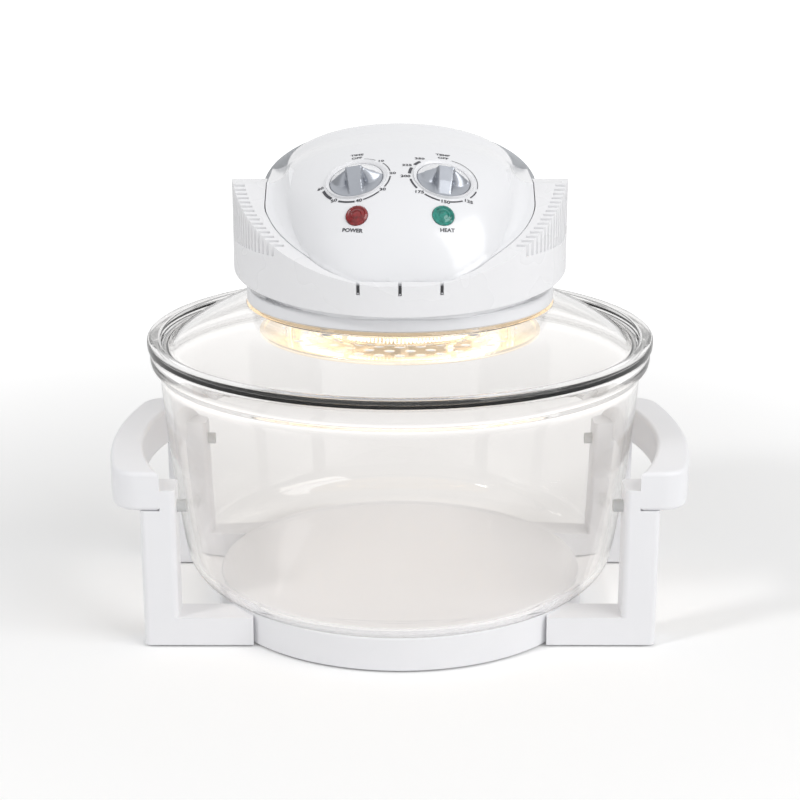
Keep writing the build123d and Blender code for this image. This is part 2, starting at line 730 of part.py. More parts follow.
# Heat shield above the heater, on its spacers
with BuildPart() as heat_shield:
    with BuildSketch(Plane.XY.offset(shield_level)):
        Circle(shield_radius)
        Circle(hub_radius, mode=Mode.SUBTRACT)
    extrude(amount=shield_sheet)
    with BuildSketch(Plane.XY.offset(shield_level - shield_rim)):
        Circle(shield_radius)
        Circle(shield_radius - shield_sheet, mode=Mode.SUBTRACT)
    extrude(amount=shield_rim)
heat_shield.part.label = "heat_shield"
export_step(heat_shield.part, "parts/heat_shield.step")

with BuildPart() as shield_spacers:
    with BuildSketch(Plane.XY.offset(shield_top)):
        with PolarLocations(spacer_circle, 4, start_angle=45):
            Circle(spacer_radius)
            Circle(spacer_radius / 2, mode=Mode.SUBTRACT)
    extrude(amount=plate_bottom - shield_top)
shield_spacers.part.label = "shield_spacers"
export_step(shield_spacers.part, "parts/shield_spacers.step")

# Perforated guard under the heater, on its posts
guard_sheet_bottom = guard_level - guard_sheet
with BuildPart() as lamp_guard:
    with BuildSketch(Plane.XY.offset(guard_sheet_bottom)):
        Circle(guard_radius - guard_rim / 2)
        for ring in range(2, 2 + guard_rings):
            with PolarLocations(guard_ring_step * ring + 2, 6 * ring):
                Circle(guard_hole_radius, mode=Mode.SUBTRACT)
    extrude(amount=guard_sheet)
    with BuildSketch(Plane.XY.offset(guard_sheet_bottom - (guard_rim - guard_sheet) / 2)):
        Circle(guard_radius)
        Circle(guard_radius - guard_rim, mode=Mode.SUBTRACT)
    extrude(amount=guard_rim)
    fillet(lamp_guard.edges().filter_by(GeomType.CIRCLE).sort_by(SortBy.RADIUS)[-2:], guard_rim * 0.4)
lamp_guard.part.label = "lamp_guard"
export_step(lamp_guard.part, "parts/lamp_guard.step")

with BuildPart() as guard_posts:
    for angle in (guard_post_angle, 180 - guard_post_angle, 180 + guard_post_angle, 360 - guard_post_angle):
        with Locations((guard_post_circle * cos(radians(angle)), guard_post_circle * sin(radians(angle)),
                        guard_level)):
            Cylinder(guard_post_radius, shield_level - guard_level,
                     align=(Align.CENTER, Align.CENTER, Align.MIN))
guard_posts.part.label = "guard_posts"
export_step(guard_posts.part, "parts/guard_posts.step")

# Halogen heater: a quartz tube bent to an open ring, its filament, end caps and clips
ring_angle = 360 - 2 * tube_gap_angle
with BuildPart() as halogen_tube:
    with BuildSketch(Plane.XZ):
        with Locations((tube_ring_radius, tube_level)):
            Circle(tube_radius)
            Circle(tube_radius - tube_wall, mode=Mode.SUBTRACT)
    revolve(axis=Axis.Z, revolution_arc=ring_angle)
    halogen_tube.part = halogen_tube.part.rotate(Axis.Z, 90 + tube_gap_angle)
halogen_tube.part.label = "halogen_tube"
export_step(halogen_tube.part, "parts/halogen_tube.step")

with BuildPart() as heating_filament:
    with BuildSketch(Plane.XZ):
        with Locations((tube_ring_radius, tube_level)):
            Circle(filament_radius)
    revolve(axis=Axis.Z, revolution_arc=ring_angle)
    heating_filament.part = heating_filament.part.rotate(Axis.Z, 90 + tube_gap_angle)
heating_filament.part.label = "heating_filament"
export_step(heating_filament.part, "parts/heating_filament.step")

cap_bottom = tube_level - tube_radius - 1
with BuildPart() as tube_end_caps:
    for turn in (-1, 1):
        angle = 90 + turn * tube_gap_angle
        start = Vector(tube_ring_radius * cos(radians(angle)), tube_ring_radius * sin(radians(angle)), 0)
        along = Vector(sin(radians(angle)), -cos(radians(angle)), 0) * turn
        middle = start + along * (end_cap_length / 2)
        with Locations(Plane(origin=(middle.X, middle.Y, (cap_bottom + shield_level) / 2), x_dir=along,
                             z_dir=(0, 0, 1))):
            Box(end_cap_length, end_cap_width, shield_level - cap_bottom)
tube_end_caps.part.label = "tube_end_caps"
export_step(tube_end_caps.part, "parts/tube_end_caps.step")

clip_inner = tube_radius + clip_clearance
clip_outer = clip_inner + clip_wall
with BuildPart() as tube_clips:
    for angle in (180, 240, 300, 0):
        radial = (cos(radians(angle)), sin(radians(angle)), 0)
        tangent = (-sin(radians(angle)), cos(radians(angle)), 0)
        hold = Plane(origin=(tube_ring_radius * radial[0], tube_ring_radius * radial[1], tube_level),
                     x_dir=radial, z_dir=tangent)
        with BuildSketch(hold):
            with Locations((0, (shield_level - tube_level + clip_inner) / 2)):
                Rectangle(2 * clip_wall, shield_level - tube_level - clip_inner)
            Circle(clip_outer)
            Circle(clip_inner, mode=Mode.SUBTRACT)
        extrude(amount=clip_width / 2, both=True)
tube_clips.part.label = "tube_clips"
export_step(tube_clips.part, "parts/tube_clips.step")

# Control housing: the white front and top shell
inner_bottom = collar_top - 5
shoulder_slab = slab(shoulder_front, pod_back)
shoulder_inner_slab = slab(shoulder_front + shell_wall, pod_back + 10)
pod_outer = pod_form(0, collar_top, pod_back)
pod_inner = pod_form(shell_wall, inner_bottom, pod_back + 10)
skirt_outer = skirt_form(0, collar_top)
skirt_inner = skirt_form(shell_wall, inner_bottom)
shoulder_outer = dome_form(shoulder_radius, shoulder_base, shoulder_rise, collar_top, 0)
shoulder_inner = dome_form(shoulder_radius, shoulder_base, shoulder_rise, inner_bottom, shell_wall)
boss_inner = skirt_limit - pivot_boss_length
dial_planes = [panel_plane(-dial_x, dial_y), panel_plane(dial_x, dial_y)]
lens_planes = [panel_plane(-lens_x, lens_y), panel_plane(lens_x, lens_y)]
with BuildPart() as control_housing:
    add(pod_outer)
    add(shoulder_outer & shoulder_slab)
    add(skirt_outer)
    add(cove_form())
    add(pod_inner, mode=Mode.SUBTRACT)
    add(shoulder_inner & shoulder_inner_slab, mode=Mode.SUBTRACT)
    add(skirt_inner, mode=Mode.SUBTRACT)
    add(slab(pod_back, pod_back + 50), mode=Mode.SUBTRACT)
    for dial in dial_planes:
        with Locations(dial.offset(-recess_depth - shell_wall)):
            Cylinder(recess_radius + shell_wall, recess_depth, align=(Align.CENTER, Align.CENTER, Align.MIN))
        with Locations(dial.offset(-recess_depth)):
            Cylinder(recess_radius, 20, align=(Align.CENTER, Align.CENTER, Align.MIN), mode=Mode.SUBTRACT)
        with Locations(dial.offset(-20)):
            Cylinder(dial_shaft_radius + dial_shaft_clearance, 30, align=(Align.CENTER, Align.CENTER,
                                                                          Align.MIN),
                     mode=Mode.SUBTRACT)
    for lens in lens_planes:
        with Locations(lens.offset(-10)):
            Cylinder(lens_radius + lens_clearance, 20, align=(Align.CENTER, Align.CENTER, Align.MIN),
                     mode=Mode.SUBTRACT)
    for side in (-1, 1):
        with Locations(Plane(origin=(side * boss_inner, 0, pivot_height), z_dir=(side, 0, 0))):
            Cylinder(2 * pivot_radius, pivot_boss_length - 0.2, align=(Align.CENTER, Align.CENTER,
                                                                       Align.MIN))
        with Locations(Plane(origin=(side * (boss_inner - 5), 0, pivot_height), z_dir=(side, 0, 0))):
            Cylinder(pivot_radius + running_gap, 20, align=(Align.CENTER, Align.CENTER, Align.MIN),
                     mode=Mode.SUBTRACT)
    with BuildSketch(Plane.XY.offset(collar_top)):
        with Locations(*housing_bosses[:4]):
            Circle(boss_radius)
    extrude(amount=boss_height)
    with BuildSketch(Plane.XY.offset(collar_top)):
        with Locations(*housing_bosses[:4]):
            Circle(housing_screw_radius + thread_clearance)
    extrude(amount=boss_height - 3, mode=Mode.SUBTRACT)
control_housing.part.label = "control_housing"
export_step(control_housing.part, "parts/control_housing.step")

# Rear cover with its air vents and the cut-out for the inlet
cover_front = pod_back + cover_seam
cover_outer = dome_form(cover_radius, cover_base, cover_rise, collar_top, 0)
cover_inner = dome_form(cover_radius, cover_base, cover_rise, inner_bottom, shell_wall)
with BuildPart() as rear_cover:
    add(cover_outer & slab(cover_front, cover_radius + 10))
    add(cover_inner, mode=Mode.SUBTRACT)
    with BuildSketch(Plane.XY.offset(collar_top)):
        with Locations(*housing_bosses[4:]):
            Circle(boss_radius)
    extrude(amount=boss_height)
    with BuildSketch(Plane.XY.offset(collar_top)):
        with Locations(*housing_bosses[4:]):
            Circle(housing_screw_radius + thread_clearance)
    extrude(amount=boss_height - 3, mode=Mode.SUBTRACT)
    for row in range(vent_count):
        vent_angle = 90 + (row - (vent_count - 1) / 2) * vent_pitch
        radial = (cos(radians(vent_angle)), sin(radians(vent_angle)), 0)
        vent_plane = Plane(origin=(70 * radial[0], 70 * radial[1], vent_bottom + vent_height / 2),
                           x_dir=(-radial[1], radial[0], 0), z_dir=radial)
        with BuildSketch(vent_plane):
            SlotOverall(vent_height, vent_width, rotation=90)
        extrude(amount=40, mode=Mode.SUBTRACT)
    with Locations((0, cover_radius, inlet_level)):
        Box(inlet_width + 2 * inlet_clearance, 30, inlet_height + 2 * inlet_clearance, mode=Mode.SUBTRACT)
rear_cover.part.label = "rear_cover"
export_step(rear_cover.part, "parts/rear_cover.step")

with BuildPart() as housing_screws:
    with Locations(*[(x, y, plate_bottom) for x, y in housing_bosses]):
        Cylinder(housing_screw_radius, housing_screw_length, align=(Align.CENTER, Align.CENTER, Align.MIN))
        Cylinder(2 * housing_screw_radius, screw_head, align=(Align.CENTER, Align.CENTER, Align.MAX))
housing_screws.part.label = "housing_screws"
export_step(housing_screws.part, "parts/housing_screws.step")

# Dials: knob, shaft and the clockwork or thermostat behind the panel
for dial, knob_name in ((dial_planes[0], "timer"), (dial_planes[1], "thermostat")):
    floor = -recess_depth
    with BuildPart() as knob:
        with BuildSketch(dial.offset(floor + knob_float)):
            Circle(knob_radius)
        extrude(amount=knob_height)
        fillet(knob.edges().filter_by(GeomType.CIRCLE), 1.2)
        side_plane = Plane(origin=dial.from_local_coords((0, 0, floor + knob_float)), x_dir=dial.y_dir,
                           z_dir=dial.x_dir)
        with BuildSketch(side_plane):
            Polygon((-knob_radius - 1, knob_height + 1), (-knob_radius - 1, knob_skirt + 0.6),
                    (-0.3 * knob_radius, knob_height), (knob_bar_back, knob_height),
                    (knob_radius, knob_skirt), (knob_radius + 1, knob_skirt), (knob_radius + 1,
                                                                               knob_height + 1),
                    align=None)
        extrude(amount=knob_radius + 1, both=True, mode=Mode.SUBTRACT)
        front_plane = Plane(origin=dial.from_local_coords((0, 0, floor + knob_float)), x_dir=dial.x_dir,
                            z_dir=-dial.y_dir)
        for turn in (-1, 1):
            scoop_x = turn * (knob_bar_width / 2 + scoop_radius)
            scoop_axis = front_plane.from_local_coords((scoop_x, knob_skirt + scoop_radius, 0))
            with Locations(Plane(origin=scoop_axis, z_dir=dial.y_dir)):
                Cylinder(scoop_radius, 4 * knob_radius, mode=Mode.SUBTRACT)
            with BuildSketch(front_plane):
                with Locations((turn * (knob_bar_width / 2 + 1.6 * scoop_radius),
                                knob_skirt + 1.45 * scoop_radius)):
                    Rectangle(1.4 * scoop_radius, 2 * scoop_radius)
            extrude(amount=knob_radius + 1, both=True, mode=Mode.SUBTRACT)
        with Locations(dial.offset(floor + knob_float)):
            Cylinder(dial_shaft_radius + running_gap, knob_height - knob_cap,
                     align=(Align.CENTER, Align.CENTER, Align.MIN), mode=Mode.SUBTRACT)
    knob.part.label = f"{knob_name}_knob"
    export_step(knob.part, f"parts/{knob_name}_knob.step")

    body_top = floor - shell_wall
    with BuildPart() as dial_body:
        with Locations(dial.offset(body_top)):
            Box(timer_size, timer_size, timer_depth, align=(Align.CENTER, Align.CENTER, Align.MAX))
            Cylinder(dial_shaft_radius + running_gap, shaft_socket,
                     align=(Align.CENTER, Align.CENTER, Align.MAX), mode=Mode.SUBTRACT)
    dial_body.part.label = f"{knob_name}_body"
    export_step(dial_body.part, f"parts/{knob_name}_body.step")

    with BuildPart() as dial_shaft:
        with BuildSketch(dial.offset(body_top - shaft_socket + 0.3)):
            Circle(dial_shaft_radius)
        extrude(amount=shaft_socket + shell_wall + knob_float + knob_height - knob_cap - 0.6)
    dial_shaft.part.label = f"{knob_name}_shaft"
    export_step(dial_shaft.part, f"parts/{knob_name}_shaft.step")

# Lenses and the neon lamps behind them
for lens, lens_name in ((lens_planes[0], "power_lens"), (lens_planes[1], "heat_lens")):
    with BuildPart() as light:
        with BuildSketch(lens.offset(-lens_depth)):
            Circle(lens_radius)
        extrude(amount=lens_depth + lens_proud)
        fillet(light.edges().group_by(Axis(lens.origin, lens.z_dir))[-1], lens_proud * 0.9)
    light.part.label = lens_name
    export_step(light.part, f"parts/{lens_name}.step")

with BuildPart() as neon_lamps:
    for lens in lens_planes:
        with Locations(lens.offset(-lens_depth)):
            Cylinder(lamp_radius, lamp_length, align=(Align.CENTER, Align.CENTER, Align.MAX))
neon_lamps.part.label = "neon_lamps"
export_step(neon_lamps.part, "parts/neon_lamps.step")

# Carry handle: a band round the front of the head that rises to an ear on each side
band_inner = skirt_limit + handle_gap
handle_front = -handle_radius - 2
bottom_back = handle_bottom_front + handle_bottom_slope * (ear_back - 12 + handle_radius)


def handle_profile(inset, low):
    """Side view of the handle, drawn in from the top and the back by inset."""
    return [(handle_front, low), (ear_back - 12 - inset, low if low < handle_bottom_front else bottom_back),
            (ear_back - inset, bottom_back + 12), (ear_back - inset, pivot_height),
            (ear_peak_back - inset / 2, ramp_top - inset), (ramp_peak_y + inset / 2, ramp_top - inset),
            (ramp_front_y, ramp_front_height - inset), (handle_front, ramp_front_height - inset)]


nose_y = -(pod_nose + handle_gap)


def opening_half_width(y, growth):
    """Half width of the space inside the handle: the shell's outline with the gap all round it."""
    step = 0.2
    shell_y = max(y, 1 - pod_front_reach)
    for _ in range(4):
        slope = (shell_half_width(shell_y + step) - shell_half_width(shell_y - step)) / (2 * step)
        shell_y = max(y + (handle_gap + growth) * slope / sqrt(1 + slope ** 2), -pod_nose)
    return shell_half_width(shell_y) + (handle_gap + growth) / sqrt(1 + slope ** 2)




def opening_prism(growth, bottom):
    """The upright space inside the handle, with the shell's outline in plan."""
    front = nose_y - growth
    stations = (-38.0, -50.0, -60.0, -69.0, -77.0, -84.0, -90.0, -95.0, -99.0)
    right = [(opening_half_width(y, growth), y) for y in stations]
    right.append((half_width(1.5 - pod_nose) - 2 + growth, front))
    left = [(-x, y) for x, y in right]
    with BuildPart() as prism:
        with BuildSketch(Plane.XY.offset(bottom)):
            with BuildLine():
                Spline(*right, tangents=[(0, -1), (-1, -0.2)])
                Line(right[-1], left[-1])
                Spline(*left[::-1], tangents=[(-1, 0.2), (0, 1)])
                Polyline(left[0], (left[0][0], 60), (right[0][0], 60), right[0])
            make_face()
        extrude(amount=120)
    return prism.part


with BuildPart() as handle_grooves:
    for side in (-1, 1):
        for index in range(groove_count):
            y = groove_first - groove_pitch * index
            wall_x = sqrt(handle_radius ** 2 - y ** 2)
            with Locations((side * (wall_x - groove_depth + 10), y, (groove_bottom + 300) / 2)):
                Box(20, groove_width, 300 - groove_bottom)
            with Locations((side * (wall_x - groove_reach + 10), y, ramp_height(y) - groove_depth + 10)):
                Box(20, groove_width, 20)

with BuildPart() as handle_pocket:
    with BuildSketch(Plane.YZ):
        Polygon(*handle_profile(handle_wall, handle_bottom_front - 20), align=None)
    extrude(amount=handle_radius, both=True)
    with BuildSketch(Plane.XY.offset(handle_bottom_front - 30)):
        Circle(handle_radius - handle_wall)
    extrude(amount=120, mode=Mode.INTERSECT)
    add(opening_prism(handle_wall, handle_bottom_front - 40), mode=Mode.SUBTRACT)
    with Locations((0, handle_front, pivot_height)):
        Box(3 * handle_radius, 2 * 42, 200, mode=Mode.SUBTRACT)

with BuildPart() as carry_handle:
    with BuildSketch(Plane.YZ):
        Polygon(*handle_profile(0, handle_bottom_front), align=None)
    extrude(amount=handle_radius + 1, both=True)
    with BuildSketch(Plane.XY.offset(handle_bottom_front - 5)):
        Circle(handle_radius)
    extrude(amount=120, mode=Mode.INTERSECT)
    with BuildSketch(Plane.YZ):
        Polygon((handle_front, handle_bottom_front + handle_bottom_slope * (handle_front + handle_radius)),
                (ear_back, handle_bottom_front + handle_bottom_slope * (ear_back + handle_radius)),
                (ear_back, handle_bottom_front - 10), (handle_front, handle_bottom_front - 10), align=None)
    extrude(amount=handle_radius + 2, both=True, mode=Mode.SUBTRACT)
    add(opening_prism(0, handle_bottom_front - 20), mode=Mode.SUBTRACT)
    add(handle_pocket.part, mode=Mode.SUBTRACT)
    add(handle_grooves.part, mode=Mode.SUBTRACT)
    for index in (-1, 0, 1):
        with Locations((index * slot_spacing, handle_front, ramp_front_height - slot_depth + 10)):
            Box(slot_width, 20, 20, mode=Mode.SUBTRACT)
    for side in (-1, 1):
        with Locations(Plane(origin=(side * (band_inner - 2), 0, pivot_height), z_dir=(side, 0, 0))):
            Cylinder(pivot_radius + running_gap, handle_wall + 6, align=(Align.CENTER, Align.CENTER,
                                                                         Align.MIN),
                     mode=Mode.SUBTRACT)
carry_handle.part.label = "carry_handle"
export_step(carry_handle.part, "parts/carry_handle.step")

# Pivot pins of the handle; the left one ends in the cam that works the safety switch
with BuildPart() as handle_pivots:
    for side in (-1, 1):
        pin_start = boss_inner - pivot_boss_gap - pin_head
        with Locations(Plane(origin=(side * pin_start, 0, pivot_height), z_dir=(side, 0, 0))):
            Cylinder(1.5 * pivot_radius, pin_head, align=(Align.CENTER, Align.CENTER, Align.MIN))
            Cylinder(pivot_radius, band_inner + handle_wall - pin_start + pin_head,
                     align=(Align.CENTER, Align.CENTER, Align.MIN))
        with Locations(Plane(origin=(side * (band_inner + handle_wall), 0, pivot_height),
                             z_dir=(side, 0, 0))):
            Cylinder(1.5 * pivot_radius, pin_head, align=(Align.CENTER, Align.CENTER, Align.MIN))
    with Locations(Plane(origin=(-pin_start, 0, pivot_height - cam_offset), z_dir=(1, 0, 0))):
        Cylinder(cam_radius, cam_length, align=(Align.CENTER, Align.CENTER, Align.MIN))
handle_pivots.part.label = "handle_pivots"
export_step(handle_pivots.part, "parts/handle_pivots.step")

# Safety switch and its plunger, under the cam
plunger_tip = pivot_height - cam_radius - cam_offset - plunger_gap
switch_top = plunger_tip - plunger_reach
with BuildPart() as safety_switch:
    with Locations((switch_x, 0, collar_top)):
        Box(switch_width, switch_length, switch_top - collar_top, align=(Align.CENTER, Align.CENTER,
                                                                         Align.MIN))
    with Locations((switch_x, 0, switch_top)):
        Cylinder(plunger_radius + running_gap, plunger_socket, align=(Align.CENTER, Align.CENTER, Align.MAX),
                 mode=Mode.SUBTRACT)
safety_switch.part.label = "safety_switch"
export_step(safety_switch.part, "parts/safety_switch.step")

with BuildPart() as switch_plunger:
    with Locations((switch_x, 0, switch_top - plunger_socket + 0.5)):
        Cylinder(plunger_radius, plunger_tip - switch_top + plunger_socket - 0.5,
                 align=(Align.CENTER, Align.CENTER, Align.MIN))
switch_plunger.part.label = "switch_plunger"
export_step(switch_plunger.part, "parts/switch_plunger.step")

# Fan motor, its coil, shaft and two fans
with BuildPart() as fan_motor:
    with BuildSketch(Plane.XY.offset(collar_top)):
        Circle(motor_radius)
        Circle(shaft_radius + running_gap, mode=Mode.SUBTRACT)
    extrude(amount=motor_top - collar_top)
    fillet(fan_motor.edges().group_by(Axis.Z)[-1].sort_by(SortBy.RADIUS)[-1], 3.0)
fan_motor.part.label = "fan_motor"
export_step(fan_motor.part, "parts/fan_motor.step")

with BuildPart() as motor_coil:
    with Locations((0, motor_radius + 8, collar_top)):
        Box(24, 16, 22, align=(Align.CENTER, Align.CENTER, Align.MIN))
    fillet(motor_coil.edges().filter_by(Axis.Z), 3.0)
motor_coil.part.label = "motor_coil"
export_step(motor_coil.part, "parts/motor_coil.step")

with BuildPart() as fan_shaft:
    with BuildSketch(Plane.XY.offset(shaft_bottom)):
        Circle(shaft_radius)
    extrude(amount=shaft_top - shaft_bottom)
fan_shaft.part.label = "fan_shaft"
export_step(fan_shaft.part, "parts/fan_shaft.step")

for fan_name, fan_radius, fan_level, fan_height, blade in (
        ("convection_fan", warm_fan_radius, warm_fan_level, warm_fan_height, 0.8),
        ("cooling_fan", cool_fan_radius, cool_fan_level, cool_fan_height, 1.4)):
    with BuildPart() as fan:
        with BuildSketch(Plane.XY.offset(fan_level)):
            Circle(hub_radius - 1)
        extrude(amount=fan_height)
        with PolarLocations(0, fan_blades):
            with Locations(Location((fan_radius / 2 + 1, 0, fan_level + fan_height / 2), (60, 0, 0))):
                Box(fan_radius - 4, blade, fan_height * 1.6)
        with BuildSketch(Plane.XY.offset(fan_level)):
            Circle(fan_radius)
        extrude(amount=fan_height, mode=Mode.INTERSECT)
        with BuildSketch(Plane.XY.offset(fan_level)):
            Circle(shaft_radius + 0.02)
        extrude(amount=fan_height, mode=Mode.SUBTRACT)
    fan.part.label = fan_name
    export_step(fan.part, f"parts/{fan_name}.step")

# Small electrical pieces on the base plate
with BuildPart() as terminal_block:
    with Locations((0, 66, collar_top)):
        Box(24, 12, 11, align=(Align.CENTER, Align.CENTER, Align.MIN))
    chamfer(terminal_block.edges().group_by(Axis.Z)[-1], 1.5)
terminal_block.part.label = "terminal_block"
export_step(terminal_block.part, "parts/terminal_block.step")

with BuildPart() as thermal_cutout:
    with Locations((-35, 30, shield_top)):
        Cylinder(7.0, plate_bottom - shield_top, align=(Align.CENTER, Align.CENTER, Align.MIN))
thermal_cutout.part.label = "thermal_cutout"
export_step(thermal_cutout.part, "parts/thermal_cutout.step")

# Mains inlet in the rear cover
inlet_face = cover_radius + 0.1
with BuildPart() as mains_inlet:
    with Locations((0, inlet_face - inlet_depth / 2, inlet_level)):
        Box(inlet_width, inlet_depth, inlet_height)
    with Locations((0, inlet_face + inlet_flange / 2, inlet_level)):
        Box(inlet_width + 2 * inlet_rim, inlet_flange, inlet_height + 2 * inlet_rim)
    fillet(mains_inlet.edges().filter_by(Axis.Y), 1.0)
    with Locations((0, inlet_face + inlet_flange - socket_depth / 2, inlet_level)):
        Box(inlet_width - 2 * inlet_wall, socket_depth, inlet_height - 2 * inlet_wall, mode=Mode.SUBTRACT)
mains_inlet.part.label = "mains_inlet"
export_step(mains_inlet.part, "parts/mains_inlet.step")

with BuildPart() as inlet_pins:
    for pin_x, pin_z in ((-pin_spacing, -2.0), (pin_spacing, -2.0), (0, 2.0)):
        with Locations((pin_x, inlet_face + inlet_flange - socket_depth + pin_length / 2,
                        inlet_level + pin_z)):
            Box(2.0, pin_length, 4.0)
inlet_pins.part.label = "inlet_pins"
export_step(inlet_pins.part, "parts/inlet_pins.step")
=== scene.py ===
import json
from math import cos, pi, radians, sin, sqrt

import bmesh
import bpy
from mathutils import Matrix, Vector
from mathutils.bvhtree import BVHTree


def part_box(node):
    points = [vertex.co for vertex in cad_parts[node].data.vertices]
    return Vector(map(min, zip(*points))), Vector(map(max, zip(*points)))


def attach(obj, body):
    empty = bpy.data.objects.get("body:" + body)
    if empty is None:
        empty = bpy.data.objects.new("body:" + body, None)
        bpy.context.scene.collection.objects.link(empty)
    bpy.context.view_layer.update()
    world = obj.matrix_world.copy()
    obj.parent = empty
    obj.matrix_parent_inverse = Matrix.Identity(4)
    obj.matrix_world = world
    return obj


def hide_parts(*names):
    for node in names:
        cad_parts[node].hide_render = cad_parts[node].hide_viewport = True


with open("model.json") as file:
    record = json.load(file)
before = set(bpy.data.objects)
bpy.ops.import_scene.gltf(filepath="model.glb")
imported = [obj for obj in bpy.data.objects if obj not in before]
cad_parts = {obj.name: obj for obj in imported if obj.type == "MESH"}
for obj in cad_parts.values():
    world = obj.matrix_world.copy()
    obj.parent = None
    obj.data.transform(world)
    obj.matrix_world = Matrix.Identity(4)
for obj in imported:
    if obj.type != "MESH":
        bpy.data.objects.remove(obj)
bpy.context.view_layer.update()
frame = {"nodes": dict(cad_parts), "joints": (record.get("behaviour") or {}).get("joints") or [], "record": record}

RECORD = frame["record"]
BODY_OF = {node: body for body, nodes in RECORD["behaviour"]["bodies"].items() for node in nodes}
JOINTS = {joint["name"]: joint for joint in frame["joints"]}
MM = 0.001

# Camera
LENS = 81.7
ELEVATION = radians(16.58)
DISTANCE = 1.2074
TARGET_HEIGHT = 0.1407

camera_data = bpy.data.cameras.new("camera")
camera_data.lens = LENS
camera_data.sensor_width = 36.0
camera = bpy.data.objects.new("camera", camera_data)
camera.location = (0, -DISTANCE * cos(ELEVATION), TARGET_HEIGHT + DISTANCE * sin(ELEVATION))
camera.rotation_euler = (pi / 2 - ELEVATION, 0, 0)
bpy.context.scene.collection.objects.link(camera)
bpy.context.scene.camera = camera
bpy.context.scene.view_settings.view_transform = "Standard"


# Finishes
class Finish:
    """A surface shader with the few kinds of detail that moulded, painted, turned and cast surfaces have."""

    def __init__(self, name, colour, roughness, **sockets):
        self.material = bpy.data.materials.new(name)
        self.material.use_nodes = True
        self.nodes = self.material.node_tree.nodes
        self.links = self.material.node_tree.links
        self.surface = self.nodes["Principled BSDF"]
        self.place = self.nodes.new("ShaderNodeTexCoord").outputs["Object"]
        self.surface.inputs["Base Color"].default_value = (*colour, 1)
        self.surface.inputs["Roughness"].default_value = roughness
        self.colour = colour
        for socket, value in sockets.items():
            self.surface.inputs[socket.replace("_", " ")].default_value = value

    def noise(self, scale, stretch=(1, 1, 1), detail=3.0):
        """Cloudy values from 0 to 1 in the object's own space."""
        mapping = self.nodes.new("ShaderNodeMapping")
        mapping.inputs["Scale"].default_value = stretch
        self.links.new(self.place, mapping.inputs["Vector"])
        texture = self.nodes.new("ShaderNodeTexNoise")
        texture.inputs["Scale"].default_value = scale
        texture.inputs["Detail"].default_value = detail
        self.links.new(mapping.outputs["Vector"], texture.inputs["Vector"])
        return texture.outputs["Fac"]

    def scaled(self, value, low, high, out_low, out_high):
        """A value moved from one range to another."""
        ranged = self.nodes.new("ShaderNodeMapRange")
        ranged.inputs["From Min"].default_value = low
        ranged.inputs["From Max"].default_value = high
        ranged.inputs["To Min"].default_value = out_low
        ranged.inputs["To Max"].default_value = out_high
        self.links.new(value, ranged.inputs["Value"])
        return ranged.outputs["Result"]

    def tint(self, factor, other):
        """Mixes another colour in by a factor."""
        mix = self.nodes.new("ShaderNodeMix")
        mix.data_type = "RGBA"
        before = self.surface.inputs["Base Color"]
        mix.inputs["B"].default_value = (*other, 1)
        if before.is_linked:
            self.links.new(before.links[0].from_socket, mix.inputs["A"])
        else:
            mix.inputs["A"].default_value = (*self.colour, 1)
        self.links.new(factor, mix.inputs["Factor"])
        self.links.new(mix.outputs["Result"], before)
        return self

    def uneven(self, scale, low, high):
        """Gloss that changes a little over the surface."""
        spread = self.scaled(self.noise(scale, detail=1.0), 0.15, 0.85, low, high)
        self.links.new(spread, self.surface.inputs["Roughness"])
        return self

    def grain(self, scale, depth, stretch=(1, 1, 1), detail=3.0):
        """Fine relief."""
        bump = self.nodes.new("ShaderNodeBump")
        bump.inputs["Distance"].default_value = depth
        before = self.surface.inputs["Normal"]
        if before.is_linked:
            self.links.new(before.links[0].from_socket, bump.inputs["Normal"])
        self.links.new(self.noise(scale, stretch, detail), bump.inputs["Height"])
        self.links.new(bump.outputs["Normal"], before)
        return self


def clouded(finish, scale, other, amount):
    """Colour that drifts a little towards another."""
    return finish.tint(finish.scaled(finish.noise(scale), 0.2, 0.8, 0, amount), other)


head_white = clouded(Finish("head_white", (0.79, 0.795, 0.815), 0.2, Specular_IOR_Level=0.55,
                            Coat_Weight=0.25, Coat_Roughness=0.06), 70, (0.775, 0.78, 0.802), 0.5)
head_white.uneven(40, 0.16, 0.24).grain(900, 0.00001)
handle_white = clouded(Finish("handle_white", (0.8, 0.8, 0.815), 0.27, Specular_IOR_Level=0.5,
                              Coat_Weight=0.12, Coat_Roughness=0.1), 80, (0.785, 0.788, 0.802), 0.5)
handle_white.uneven(45, 0.23, 0.32).grain(650, 0.000012)
stand_white = clouded(Finish("stand_white", (0.83, 0.83, 0.85), 0.33, Specular_IOR_Level=0.45), 60,
                      (0.81, 0.815, 0.835), 0.5)
stand_white.uneven(35, 0.28, 0.4).grain(650, 0.000016)
# Painted shade: the rear cover and its bulkhead are coloured grey to stand for the shaded back of the white head
cover_painted_shade = clouded(Finish("cover_painted_shade", (0.5, 0.515, 0.53), 0.34), 12, (0.44, 0.455, 0.475), 0.6)
cover_painted_shade.uneven(45, 0.3, 0.42).grain(700, 0.000016)
# The bowl's slight warm tint is partly the glass's own and partly a painted warm cast of the lamp's glow
bowl_glass = Finish("bowl_glass", (0.968, 0.957, 0.947), 0.0, Transmission_Weight=1.0, IOR=1.46)
bowl_glass.uneven(14, 0.0, 0.012).grain(12, 0.00005, detail=1.0)
